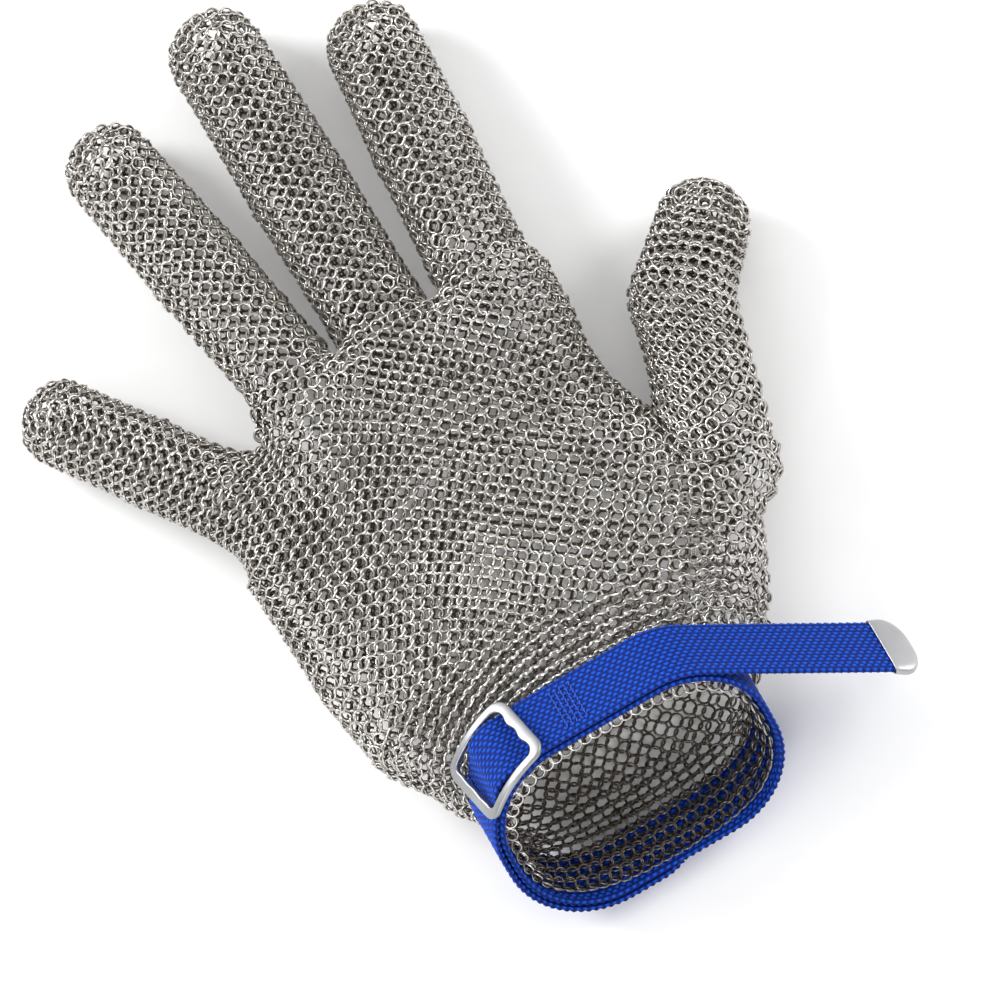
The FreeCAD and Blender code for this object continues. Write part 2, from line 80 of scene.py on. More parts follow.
def unit(vector):
    """Vectors of length one, whatever the number of rows."""
    vector = np.asarray(vector, float)
    return vector / np.maximum(np.linalg.norm(vector, axis=-1, keepdims=True), 1e-9)


# the strap's loop lies in a slanted plane that holds ACROSS and LOOP_RISE and is square to LOOP_NORMAL;
# the webbing's width runs along STRAP_AXIS
OPENING = named(frame["record"]["mounts"], "wrist_opening")
WRIST_CENTRE = np.array(OPENING["pos_m"]) / MM
STRAP_AXIS = -np.array(OPENING["axis"])
ACROSS = np.array([1.0, 0.0, 0.0])
UP = np.array([0.0, 0.0, 1.0])
LOOP_SLANT = math.radians(40.7)
LOOP_RISE = np.array([0.0, math.sin(LOOP_SLANT), math.cos(LOOP_SLANT)])
LOOP_NORMAL = np.array([0.0, math.cos(LOOP_SLANT), -math.sin(LOOP_SLANT)])

# -------- the shape of the worn glove

RING_DEPTH = 0.6
OUTER_RADIUS = {"little": 10.4, "ring": 11.7, "middle": 12.2, "index": 12.1, "thumb": 12.5}
TIP_RADIUS = {"little": 10.0, "ring": 10.9, "middle": 11.4, "index": 11.2, "thumb": 11.0}
ROOT_RUN = {"little": 16.0, "ring": 22.0, "middle": 22.0, "index": 22.0, "thumb": 15.0}
# cross-sections along the hand: place, lean of the section, centre x, centre z, half width, half height
SECTIONS = np.array([
    [-78.0, 0.86, -3.0, 25.8, 32.4, 15.7],
    [-60.3, 0.86, -3.0, 20.0, 32.5, 15.8],
    [-51.0, 0.55, -0.8, 19.4, 42.2, 17.4],
    [-36.0, 0.15, -1.6, 19.4, 52.4, 18.9],
    [-16.0, 0.0, 0.2, 18.5, 57.6, 18.0],
    [4.0, 0.0, -7.2, 17.4, 50.6, 16.8],
    [18.0, 0.0, -10.2, 16.6, 48.6, 16.0],
    [36.0, 0.0, -3.0, 16.0, 40.4, 14.8],
    [50.0, 0.0, -0.4, 16.6, 37.6, 13.4],
    [60.0, 0.0, 0.0, 16.6, 37.0, 12.4],
])
SECTION_POWER = 2.7
PALM_END, PALM_END_BLEND = 53.0, 4.0
JOINT_BLEND, FINGER_BLEND, PALM_BLEND, THUMB_BLEND = 1.0, 1.6, 7.0, 4.5
ROOT_THINNER = 0.3


def digit_line(digit):
    """Root, knuckle, middle joint and centre of the tip's dome."""
    knuckle = joint_place(digit + "_knuckle")
    middle = joint_place(digit + "_middle_joint")
    points = node_points(digit + "_tip_tube")
    apex = points[np.argmax(np.linalg.norm(points - middle, axis=1))]
    tip = apex - unit(apex - middle) * TIP_RADIUS[digit]
    root = knuckle - unit(middle - knuckle) * ROOT_RUN[digit]
    return [root, knuckle, middle, tip]


LINES = {digit: digit_line(digit) for digit in DIGITS}


def section_values(place):
    """Lean, centre x, centre z, half width and half height of the section at each place."""
    return [np.interp(place, SECTIONS[:, 0], column) for column in SECTIONS[:, 1:].T]


def palm_depth(points):
    """Depth in the palm's sections. They lean, so a point's place along them is closed in on."""
    place = points[:, 1]
    for _ in range(6):
        lean, _, height, _, _ = section_values(place)
        place = 0.5 * place + 0.5 * (points[:, 1] - lean * (points[:, 2] - height))
    _, centre_x, centre_z, half_x, half_z = section_values(place)
    across = np.abs((points[:, 0] - centre_x) / half_x)
    up = np.abs((points[:, 2] - centre_z) / half_z)
    shape = (across ** SECTION_POWER + up ** SECTION_POWER + 1e-9) ** (1 / SECTION_POWER)
    return (shape - 1) * half_z


def digit_depth(points, digit):
    """Depth in a digit: three cones from its root to its tip."""
    line = LINES[digit]
    thick = OUTER_RADIUS[digit] - RING_DEPTH
    thin = TIP_RADIUS[digit] - RING_DEPTH
    radii = [thick - ROOT_THINNER, thick - ROOT_THINNER, thick, thin]
    best = np.full(len(points), 1e3)
    for k in range(3):
        start = line[k]
        run = line[k + 1] - start
        along = np.clip((points - start) @ run / (run @ run), 0, 1)
        radius = radii[k] + (radii[k + 1] - radii[k]) * along
        away = np.linalg.norm(points - (start + along[:, None] * run), axis=1)
        best = smooth_low(best, away - radius, JOINT_BLEND)
    return best


def smooth_low(a, b, blend):
    """Smooth minimum of two depths: their shapes joined with a soft fillet."""
    mix = np.clip(0.5 + 0.5 * (b - a) / blend, 0, 1)
    return b + (a - b) * mix - blend * mix * (1 - mix)


def depth(points):
    """Distance from the surface that the rings' centres lie on: negative inside the glove."""
    fingers = digit_depth(points, "little")
    for digit in FINGERS[1:]:
        fingers = smooth_low(fingers, digit_depth(points, digit), FINGER_BLEND)
    palm = palm_depth(points)
    palm = -smooth_low(-palm, PALM_END - points[:, 1], PALM_END_BLEND)
    hand = smooth_low(palm, fingers, PALM_BLEND)
    return smooth_low(hand, digit_depth(points, "thumb"), THUMB_BLEND)


def slope(points, step=0.25):
    """The way that the depth grows at each point."""
    rise = [depth(points + shift) - depth(points - shift) for shift in step * np.eye(3)]
    return np.stack(rise, axis=1) / (2 * step)


LEAST_SLOPE_SQUARED, LONGEST_MOVE = 0.04, 3.0


def onto_surface(points, rounds=1):
    """Points moved along the slope to where the depth is zero."""
    for _ in range(rounds):
        value = depth(points)
        grade = slope(points)
        size = np.maximum((grade ** 2).sum(axis=1), LEAST_SLOPE_SQUARED)
        move = -(value / size)[:, None] * grade
        length = np.linalg.norm(move, axis=1, keepdims=True)
        points = points + move * np.minimum(1, LONGEST_MOVE / np.maximum(length, 1e-9))
    return points


# -------- the net's threads

FINGER_COLUMNS = 7
PALM_ROWS = 38
THUMB_HOLE_ROWS = (13, 21)
FINGER_ROWS = {"little": 17, "ring": 22, "middle": 25, "index": 20}
THUMB_ROWS = 20
BACK_COLUMNS = FINGER_COLUMNS * len(FINGERS)
LOOP_COLUMNS = 2 * BACK_COLUMNS + 4
CUFF_END = -6.0
# where rows start before they are relaxed: distances from a knuckle, and what a tube is thinner by
ROOT_SETBACK, SIDE_STEP = 3.0, 3.0
TUBE_START = {"finger": 1.0, "thumb": 8.0}
TUBE_PAST_TIP, TUBE_THINNER = 6.0, 3.0
# the columns of the palm's net between which it opens for the thumb
THUMB_HOLE_COLUMNS = (BACK_COLUMNS - 1, BACK_COLUMNS + 3)


class Net:
    """Points, faces ordered (row start, row end, next row end, next row start), and each face's patch."""

    def __init__(self):
        self.points = []
        self.faces = []
        self.patches = []

    def add(self, point):
        self.points.append(np.asarray(point, float))
        return len(self.points) - 1

    def strip(self, low, high, patch, closed=True, skip=()):
        count = len(low)
        for k in range(count if closed else count - 1):
            if k in skip:
                continue
            after = (k + 1) % count
            self.faces.append((low[k], low[after], high[after], high[k]))
            self.patches.append(patch)


def squared(values, power):
    """A cosine or sine made fuller, so that a circle becomes a rounded square."""
    return np.sign(values) * np.abs(values) ** power


def section_loop(place):
    """Points evenly round a section: over the back to the thumb's side, and back under the palm."""
    lean, centre_x, centre_z, half_x, half_z = section_values(place)
    turn = np.linspace(math.pi, -math.pi, 721)
    x = centre_x + half_x * squared(np.cos(turn), 2 / SECTION_POWER)
    z = centre_z + half_z * squared(np.sin(turn), 2 / SECTION_POWER)
    travel = np.concatenate([[0], np.cumsum(np.hypot(np.diff(x), np.diff(z)))])
    at = np.arange(1, LOOP_COLUMNS + 1) / LOOP_COLUMNS * travel[-1]
    x, z = np.interp(at, travel, x), np.interp(at, travel, z)
    return list(np.stack([x, place + lean * (z - centre_z), z], axis=1))


def cuff_loop():
    """The net's last row, round the cuff under the strap, in the loop's slanted plane."""
    values = section_loop(SECTIONS[1][0])
    middle = np.array([SECTIONS[1][2], SECTIONS[1][0], SECTIONS[1][3]])
    target = WRIST_CENTRE + STRAP_AXIS * CUFF_END
    return [point - middle + target for point in values]


def front_loop():
    """The net's row at the roots of the fingers; three crotches lie on it."""
    half_turn = math.pi / (FINGER_COLUMNS + 2)
    back, front = [], []
    for digit in FINGERS:
        line = LINES[digit]
        along = unit(line[2] - line[1])
        side = unit(np.cross(along, UP))
        centre = line[1] - along * ROOT_SETBACK
        radius = OUTER_RADIUS[digit] - RING_DEPTH
        for k in range(FINGER_COLUMNS + 1):
            angle = math.pi - half_turn * (k + 1)
            back.append(centre + radius * (math.cos(angle) * side + math.sin(angle) * UP))
            front.append(centre + radius * (math.cos(angle) * side - math.sin(angle) * UP))
    back, front = merge_crotches(back), merge_crotches(front)
    right = (back[-1] + front[-1]) / 2 + ACROSS * SIDE_STEP
    left = (back[0] + front[0]) / 2 - ACROSS * SIDE_STEP
    return back + [right] + front[::-1] + [left]


def merge_crotches(points):
    """Neighbouring fingers share the point at their crotch."""
    step = FINGER_COLUMNS + 1
    merged = []
    for k, point in enumerate(points):
        if k % step == 0 and k > 0:
            merged[-1] = (merged[-1] + point) / 2
        else:
            merged.append(point)
    return merged


def build_palm(net):
    """Rows of points from the cuff to the roots of the fingers, with a hole for the thumb."""
    start, end = cuff_loop(), front_loop()
    rows = []
    for j in range(PALM_ROWS + 1):
        share = j / PALM_ROWS
        rows.append([net.add((1 - share) * a + share * b) for a, b in zip(start, end)])
    for j in range(PALM_ROWS):
        skip = range(*THUMB_HOLE_COLUMNS) if j in range(*THUMB_HOLE_ROWS) else ()
        net.strip(rows[j], rows[j + 1], "palm", skip=skip)
    return rows


def tube_frame(line, share):
    """Centre and direction at a share of the way along a line of points."""
    line = np.array(line)
    runs = np.linalg.norm(np.diff(line, axis=0), axis=1)
    reach = np.concatenate([[0], np.cumsum(runs)])
    at = share * reach[-1]
    steps = at + np.array([-2, 0, 2])
    before, centre, after = np.stack([np.interp(steps, reach, column) for column in line.T], axis=1)
    return centre, unit(after - before)


def across_tube(along):
    """Two directions square to a tube's own: sideways, and up as far as it can be."""
    side = unit(np.cross(along, UP))
    return side, np.cross(side, along)


def build_tube(net, loop, line, rows, radius, angles, patch):
    """Rows of net from a loop to a digit's tip, closed by a square cap."""
    previous = loop
    for r in range(1, rows + 1):
        centre, along = tube_frame(line, r / rows)
        side, up = across_tube(along)
        ring = []
        for angle in angles:
            offset = math.cos(angle) * side + math.sin(angle) * up
            ring.append(net.add(centre + radius * offset))
        net.strip(previous, ring, patch)
        previous = ring
    cap_tip(net, previous, along, radius, patch)


def cap_tip(net, loop, along, radius, patch):
    """Closes a loop of points with a rectangle of faces."""
    wide = (len(loop) // 2 + 1) // 2
    deep = len(loop) // 2 - wide
    first = deep // 2
    ordered = loop[-first:] + loop[:-first]
    ordered.append(ordered[0])
    left = ordered[:deep + 1]
    top = ordered[deep:deep + wide + 1]
    right = ordered[deep + wide:2 * deep + wide + 1][::-1]
    bottom = ordered[2 * deep + wide:][::-1]
    grid = [[None] * (wide + 1) for _ in range(deep + 1)]
    grid[0], grid[deep] = bottom, top
    for a in range(1, deep):
        grid[a][0], grid[a][wide] = left[a], right[a]
        for b in range(1, wide):
            u, v = b / wide, a / deep
            rim = (1 - v) * net.points[bottom[b]] + v * net.points[top[b]]
            rim += (1 - u) * net.points[left[a]] + u * net.points[right[a]]
            bulge = along * radius * math.sin(math.pi * u) * math.sin(math.pi * v)
            grid[a][b] = net.add(rim / 2 + bulge)
    for a in range(deep):
        net.strip(grid[a], grid[a + 1], patch, closed=False)


def palm_side(row):
    """The part of the net's last row that is on the palm, from the little finger's side."""
    start = BACK_COLUMNS + 2
    return row[start:start + BACK_COLUMNS + 1][::-1]


def finger_loop(row, crotches, index):
    """The loop at a finger's root: back, thumb's side, palm, little finger's side."""
    first = index * FINGER_COLUMNS
    last = first + FINGER_COLUMNS
    back = row[first:last + 1]
    front = palm_side(row)[first:last + 1]
    right = row[BACK_COLUMNS + 1] if index == len(FINGERS) - 1 else crotches[index]
    left = row[-1] if index == 0 else crotches[index - 1]
    return back + [right] + front[::-1] + [left]


def build_fingers(net, row):
    """A tube of net for each finger, from the palm's last row."""
    front = palm_side(row)
    # each crotch's point lies between the back and the palm, where two fingers' tubes meet
    crotches = []
    for column in range(FINGER_COLUMNS, BACK_COLUMNS, FINGER_COLUMNS):
        crotches.append(net.add((net.points[row[column]] + net.points[front[column]]) / 2))
    count = 2 * FINGER_COLUMNS + 4
    angles = [math.pi - 2 * math.pi / count * (k + 1) for k in range(count)]
    for k, digit in enumerate(FINGERS):
        _, knuckle, middle, tip = LINES[digit]
        start = knuckle - unit(middle - knuckle) * TUBE_START["finger"]
        path = [start, middle, tip + unit(tip - middle) * TUBE_PAST_TIP]
        radius = OUTER_RADIUS[digit] - TUBE_THINNER
        build_tube(net, finger_loop(row, crotches, k), path, FINGER_ROWS[digit], radius, angles, digit)


def build_thumb(net, palm_rows):
    """The thumb's tube, from the palm's hole: its angles start where the hole's points stand."""
    low, high = THUMB_HOLE_ROWS
    left, right = THUMB_HOLE_COLUMNS
    loop = [palm_rows[j][left] for j in range(high, low, -1)]
    loop += [palm_rows[low][m] for m in range(left, right)]
    loop += [palm_rows[j][right] for j in range(low, high)]
    loop += [palm_rows[high][m] for m in range(right, left, -1)]
    _, knuckle, middle, tip = LINES["thumb"]
    along = unit(middle - knuckle)
    start = knuckle - along * TUBE_START["thumb"]
    path = [start, knuckle, middle, tip + unit(tip - middle) * TUBE_PAST_TIP]
    side, up = across_tube(along)
    step = 2 * math.pi / len(loop)
    places = np.array([net.points[k] for k in loop])
    offset = places - places.mean(axis=0)
    found = np.unwrap(np.arctan2(offset @ up, offset @ side))
    turn = -1 if found[-1] < found[0] else 1
    first = np.mean(found - turn * step * np.arange(len(loop)))
    angles = [first + turn * step * k for k in range(len(loop))]
    build_tube(net, loop, path, THUMB_ROWS, OUTER_RADIUS["thumb"] - TUBE_THINNER, angles, "thumb")


# how the net is relaxed: lengths its threads keep to, how hard they pull and push, and how long
# plain smoothing fades out before them
ROW_PITCH, COLUMN_PITCH = 3.9, 3.25
PULL, PUSH = 0.9, 0.08
RELAX_ROUNDS = 240
SMOOTHING_SHARE = 0.6
RELAX_STEP = 0.9


def net_edges(faces):
    """Pairs of joined points and the length each pair would like to have."""
    along_row = np.concatenate([faces[:, [0, 1]], faces[:, [3, 2]]])
    along_column = np.concatenate([faces[:, [0, 3]], faces[:, [1, 2]]])
    pairs = np.sort(np.concatenate([along_row, along_column]), axis=1)
    rest = np.repeat([ROW_PITCH, COLUMN_PITCH], [len(along_row), len(along_column)])
    pairs, first = np.unique(pairs, axis=0, return_index=True)
    return pairs, rest[first]


def relax(net, fixed):
    """Evens the net out on the glove's surface: rings may bunch up, but barely stretch apart."""
    points = np.array(net.points)
    faces = np.array(net.faces)
    pairs, rest = net_edges(faces)
    count = np.maximum(np.bincount(pairs.ravel(), minlength=len(points)), 1)[:, None]
    free = np.ones(len(points), bool)
    free[fixed] = False
    points[free] = onto_surface(points[free], 6)
    for k in range(RELAX_ROUNDS):
        smoothing = max(0.0, 1 - k / (SMOOTHING_SHARE * RELAX_ROUNDS))
        gap = points[pairs[:, 1]] - points[pairs[:, 0]]
        length = np.linalg.norm(gap, axis=1)
        excess = (length - rest) / np.maximum(length, 0.1)
        strength = np.where(excess > 0, PULL, PUSH) * (1 - smoothing)
        share = excess * strength + smoothing
        force = np.zeros_like(points)
        np.add.at(force, pairs[:, 0], gap * share[:, None])
        np.subtract.at(force, pairs[:, 1], gap * share[:, None])
        points[free] += RELAX_STEP * (force / count)[free]
        points[free] = onto_surface(points[free])
    return points, faces


# where rings are drawn together: below the crotches, at the thumb's base and fold, beside the strap
CROTCH_OFFSET = np.array([0.0, -8.0, 8.0])
CROTCH_WIDTH, CROTCH_PULL = 8.0, 0.40
THUMB_BASE = np.array([46.0, -28.0, 18.0])
THUMB_BASE_WIDTH, THUMB_BASE_PULL = 25.0, 0.38
FOLD_START, FOLD_END = np.array([43.0, 4.0]), np.array([38.5, -47.0])
FOLD_WIDTH, FOLD_PULL = 9.0, 0.42
# over what share of its length the fold fades at an end, and how much of it is there at the very end
FOLD_FADE_START, FOLD_AT_START = 0.15, 0.3
FOLD_FADE_END, FOLD_AT_END = 0.2, 0.5
FOLD_GROOVE, FOLD_GROOVE_WIDTH = 2.4, 3.0
BACK_FROM, BACK_FULL = 15.0, 22.0
STRAP_EDGE, STRAP_GATHER_WIDTH, STRAP_PULL = 7.0, 22.0, 0.48


def gather(points):
    """Bunches the net as a worn one does, keeping it on the glove's surface."""
    for low, high in zip(FINGERS[:-1], FINGERS[1:]):
        place = (LINES[low][1] + LINES[high][1]) / 2 + CROTCH_OFFSET
        points = draw_together(points, place, CROTCH_WIDTH, CROTCH_PULL)
    points = draw_together(points, THUMB_BASE, THUMB_BASE_WIDTH, THUMB_BASE_PULL)
    from_edge = (points - WRIST_CENTRE) @ LOOP_NORMAL - STRAP_EDGE
    pull = STRAP_PULL * np.maximum(from_edge, 0) * np.exp(-(from_edge / STRAP_GATHER_WIDTH) ** 2)
    points -= pull[:, None] * STRAP_AXIS
    side, share = from_fold(points)
    pull = FOLD_PULL * side * np.exp(-(side / FOLD_WIDTH) ** 2) * share
    points[:, 0] -= pull
    return onto_surface(points, 2)


def draw_together(points, place, width, pull):
    """Points near a place moved a share of the way to it."""
    offset = points - place
    reach = (offset ** 2).sum(axis=1, keepdims=True) / width ** 2
    return points - pull * offset * np.exp(-reach)


def from_fold(points):
    """Distance to the thumb's side of the fold line, and how fully the fold is there."""
    run = FOLD_END - FOLD_START
    length = np.linalg.norm(run)
    away = points[:, :2] - FOLD_START
    side = away @ np.array([-run[1], run[0]]) / length
    along = away @ run / length ** 2
    ends = np.clip(along / FOLD_FADE_START + FOLD_AT_START, 0, 1)
    ends *= np.clip((1 - along) / FOLD_FADE_END + FOLD_AT_END, 0, 1)
    back = np.clip((points[:, 2] - BACK_FROM) / (BACK_FULL - BACK_FROM), 0, 1)
    return side, ends * back


# pleats beside the strap: how deep, how many round the cuff, and how far from the strap's plane they
# begin, are deepest and end
PLEAT_DEPTH, PLEATS = 1.1, 21
PLEAT_FROM, PLEAT_PEAK, PLEAT_TO = 7.5, 15.0, 36.0
CUFF_FLATNESS = 0.6


def pleat(points):
    """The thumb's fold, and small pleats out from under the strap, stronger at some places."""
    away = points - WRIST_CENTRE
    rise = np.interp(away @ STRAP_AXIS, [PLEAT_FROM, PLEAT_PEAK, PLEAT_TO], [0, 1, 0])
    around = np.arctan2(away @ LOOP_RISE, away[:, 0] * CUFF_FLATNESS)
    waves = np.sin(PLEATS * around + 1.2 * np.sin(3 * around)) * (0.65 + 0.35 * np.sin(5 * around + 1))
    side, share = from_fold(points)
    groove = FOLD_GROOVE * np.exp(-(side / FOLD_GROOVE_WIDTH) ** 2) * share
    return points + unit(slope(points)) * (PLEAT_DEPTH * rise * waves - groove)[:, None]


# -------- rings

RING_RADIUS, WIRE_RADIUS = 1.60, 0.31
RING_STEPS, WIRE_STEPS = 16, 5
# a ring leans more where its rows are close, within these angles
LEAN_LEAST, LEAN_MOST = math.radians(22), math.radians(66)
# how much rings differ at random in lean, twist, roll and place
SHAKE_LEAN, SHAKE_TWIST, SHAKE_ROLL = math.radians(3.5), math.radians(4), math.radians(3)
SHAKE_PLACE = 0.05
TABLE_GAP = 0.05


# the order of a face's corners that turns it over
OTHER_SIDE = [0, 3, 2, 1]


def grid_faces(grid, closed=False):
    """Faces between rows of points that close on themselves; closed joins the last row to the first."""
    index = np.arange(grid[..., 0].size).reshape(grid.shape[:-1])
    if closed:
        index = np.concatenate([index, index[:1]])
    a, b = index[..., :-1, :], index[..., 1:, :]
    return np.stack([a, b, np.roll(b, -1, axis=-1), np.roll(a, -1, axis=-1)], axis=-1).reshape(-1, 4)


def ring_template():
    """One ring: its points, in its own plane and along its axis, the way each faces, and its faces."""
    around = np.arange(RING_STEPS) * 2 * math.pi / RING_STEPS
    tube = np.arange(WIRE_STEPS) * 2 * math.pi / WIRE_STEPS
    reach = RING_RADIUS + WIRE_RADIUS * np.cos(tube)[None, :]
    u = np.cos(around)[:, None] * reach
    v = np.sin(around)[:, None] * reach
    w = np.broadcast_to(WIRE_RADIUS * np.sin(tube)[None, :], u.shape)
    core = RING_RADIUS * np.stack([np.cos(around), np.sin(around), 0 * around], axis=-1)
    places = np.stack([u, v, w], axis=-1)
    facing = (places - core[:, None]) / WIRE_RADIUS
    return places.reshape(-1, 3), facing.reshape(-1, 3), grid_faces(places, closed=True)


TEMPLATE, TEMPLATE_FACING, TEMPLATE_FACES = ring_template()


def hang_rings(points, faces, patches):
    """Places of all rings: centre, row direction, normal, lean and the patch each belongs to."""
    corner = points[faces]
    row = (corner[:, 1] - corner[:, 0] + corner[:, 2] - corner[:, 3]) / 2
    column = (corner[:, 3] - corner[:, 0] + corner[:, 2] - corner[:, 1]) / 2
    centre = onto_surface(corner.mean(axis=1), 2)
    row_at = np.zeros_like(points)
    column_at = np.zeros_like(points)
    share = np.zeros(len(points))
    owner = np.full(len(points), -1)
    for k in range(4):
        np.add.at(row_at, faces[:, k], row)
        np.add.at(column_at, faces[:, k], column)
        np.add.at(share, faces[:, k], 1)
        np.maximum.at(owner, faces[:, k], np.arange(len(faces)))
    used = share > 0
    share = share[used, None]
    places = np.concatenate([points[used], centre])
    rows = np.concatenate([row_at[used] / share, row])
    columns = np.concatenate([column_at[used] / share, column])
    owners = np.concatenate([owner[used], np.arange(len(faces))])
    lean = np.concatenate([np.ones(len(share)), -np.ones(len(faces))])
    normal = unit(slope(places))
    rows = unit(rows - (rows * normal).sum(1, keepdims=True) * normal)
    reach = np.linalg.norm(columns, axis=1)
    flat = np.clip((reach - 2 * WIRE_RADIUS) / (2 * RING_RADIUS), -1, 1)
    angle = np.clip(np.arccos(flat), LEAN_LEAST, LEAN_MOST) * lean
    return places, rows, normal, angle, np.array(patches)[owners]


def ring_vertices(places, rows, normal, angle):
    """All vertices of the given rings, shaken a little; rings on the table lie on it, not in it."""
    count = len(places)
    across = np.cross(normal, rows)
    angle = angle + RANDOM.normal(0, SHAKE_LEAN, count)
    twist = RANDOM.normal(0, SHAKE_TWIST, count)
    roll = RANDOM.normal(0, SHAKE_ROLL, count)
    places = places + RANDOM.normal(0, SHAKE_PLACE, (count, 3))
    u = unit(rows + np.tan(twist)[:, None] * across + np.tan(roll)[:, None] * normal)
    across = unit(across - (across * u).sum(1, keepdims=True) * u)
    lift = np.cross(u, across)
    v = np.cos(angle)[:, None] * across + np.sin(angle)[:, None] * lift
    w = np.cross(u, v)
    basis = np.stack([u, v, w], axis=1)
    vertices = places[:, None, :] + TEMPLATE @ basis
    lowest = vertices[..., 2].min(axis=1)
    vertices[..., 2] += np.maximum(TABLE_GAP - lowest, 0)[:, None]
    # how far each wire vertex faces out of the glove; the steel's paint uses it for painted shade on the inward
    # faces
    facing = ((TEMPLATE_FACING @ basis) * normal[:, None, :]).sum(axis=-1)
    return vertices, facing


def mesh_object(name, points, faces, material):
    """Mesh from points in millimetres and faces as index rows of one length."""
    mesh = bpy.data.meshes.new(name)
    mesh.vertices.add(points.size // 3)
    mesh.vertices.foreach_set("co", (points * MM).astype(np.float32).ravel())
    mesh.loops.add(faces.size)
    mesh.loops.foreach_set("vertex_index", faces.ravel().astype(np.int32))
    mesh.polygons.add(len(faces))
    starts = np.arange(len(faces)) * faces.shape[1]
    mesh.polygons.foreach_set("loop_start", starts.astype(np.int32))
    mesh.update(calc_edges=True)
    mesh.validate()
    mesh.polygons.foreach_set("use_smooth", np.full(len(faces), True))
    mesh.materials.append(material)
    piece = bpy.data.objects.new(name, mesh)
    bpy.context.scene.collection.objects.link(piece)
    return piece


def paint_points(piece, name, values):
    """Stores one number at each point of a piece for its material to read."""
    attribute = piece.data.attributes.new(name, "FLOAT", "POINT")
    attribute.data.foreach_set("value", np.ravel(values).astype(np.float32))


def ring_piece(name, rings, chosen, material):
    """One piece of the net, made of the chosen rings."""
    places, rows, normal, angle = [part[chosen] for part in rings]
    vertices, facing = ring_vertices(places, rows, normal, angle)
    count = len(vertices)
    per_ring = len(TEMPLATE)
    faces = (TEMPLATE_FACES[None] + (np.arange(count) * per_ring)[:, None, None]).reshape(-1, 4)
    piece = mesh_object(name, vertices, faces, material)
    paint_points(piece, "ring_tone", np.repeat(RANDOM.random(count), per_ring))
    paint_points(piece, "facing_out", facing)
    return piece


# parts of the palm's net: from and to along the hand, below or above the panels' seam, CAD node
HEEL_LINE, SEAM_HEIGHT, MIDDLE_LINE = -36.0, 16.5, 10.0
PALM_PARTS = [
    ("cuff_net", -99.0, HEEL_LINE, (0, 99), "cuff_mesh"),
    ("palm_heel_net", HEEL_LINE, MIDDLE_LINE, (-99, SEAM_HEIGHT), "palm_panel"),
    ("palm_front_net", MIDDLE_LINE, 99.0, (-99, SEAM_HEIGHT), "palm_panel"),
    ("back_heel_net", HEEL_LINE, MIDDLE_LINE, (SEAM_HEIGHT, 99), "back_panel"),
    ("back_front_net", MIDDLE_LINE, 99.0, (SEAM_HEIGHT, 99), "back_panel"),
]


def build_net_pieces(material):
    net = Net()
    palm_rows = build_palm(net)
    build_fingers(net, palm_rows[-1])
    build_thumb(net, palm_rows)
    points, faces = relax(net, palm_rows[0])
    places, rows, normal, angle, patch = hang_rings(gather(points), faces, net.patches)
    rings = (pleat(places), rows, normal, angle)
    along, height = places[:, 1], places[:, 2]
    for name, start, end, (low, high), node in PALM_PARTS:
        chosen = (patch == "palm") & (along >= start) & (along < end) & (height >= low) & (height < high)
        piece = ring_piece(name, rings, chosen, material)
        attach(piece, "glove")
        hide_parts(node)
    for digit in DIGITS:
        build_digit_pieces(digit, rings, patch == digit, material)


# how far past a knuckle, and how far before its middle joint, both as a share of the digit's radius: a digit's two
# nets are split halfway between these places
KNUCKLE_BEND = {"finger": 0.9, "thumb": 0.45}
MIDDLE_BEND = {"finger": 0.78, "thumb": 0.5}


def build_digit_pieces(digit, rings, mine, material):
    """Two nets for a digit, split between the knuckle and the middle joint."""
    _, knuckle, middle, tip = LINES[digit]
    along = unit(middle - knuckle)
    reach = np.linalg.norm(middle - knuckle)
    kind = "finger" if digit in FINGERS else "thumb"
    after = KNUCKLE_BEND[kind] * OUTER_RADIUS[digit]
    bend = MIDDLE_BEND[kind] * OUTER_RADIUS[digit]
    split = (after + reach - bend) / 2
    distance = (rings[0] - knuckle) @ along
    base = ring_piece(digit + "_base_net", rings, mine & (distance < split), material)
    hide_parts(digit + "_base_tube", digit + "_knuckle_sleeve")
    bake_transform(base)
    end = ring_piece(digit + "_tip_net", rings, mine & (distance >= split), material)
    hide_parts(digit + "_tip_tube", digit + "_joint_sleeve")
    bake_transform(end)


# -------- materials


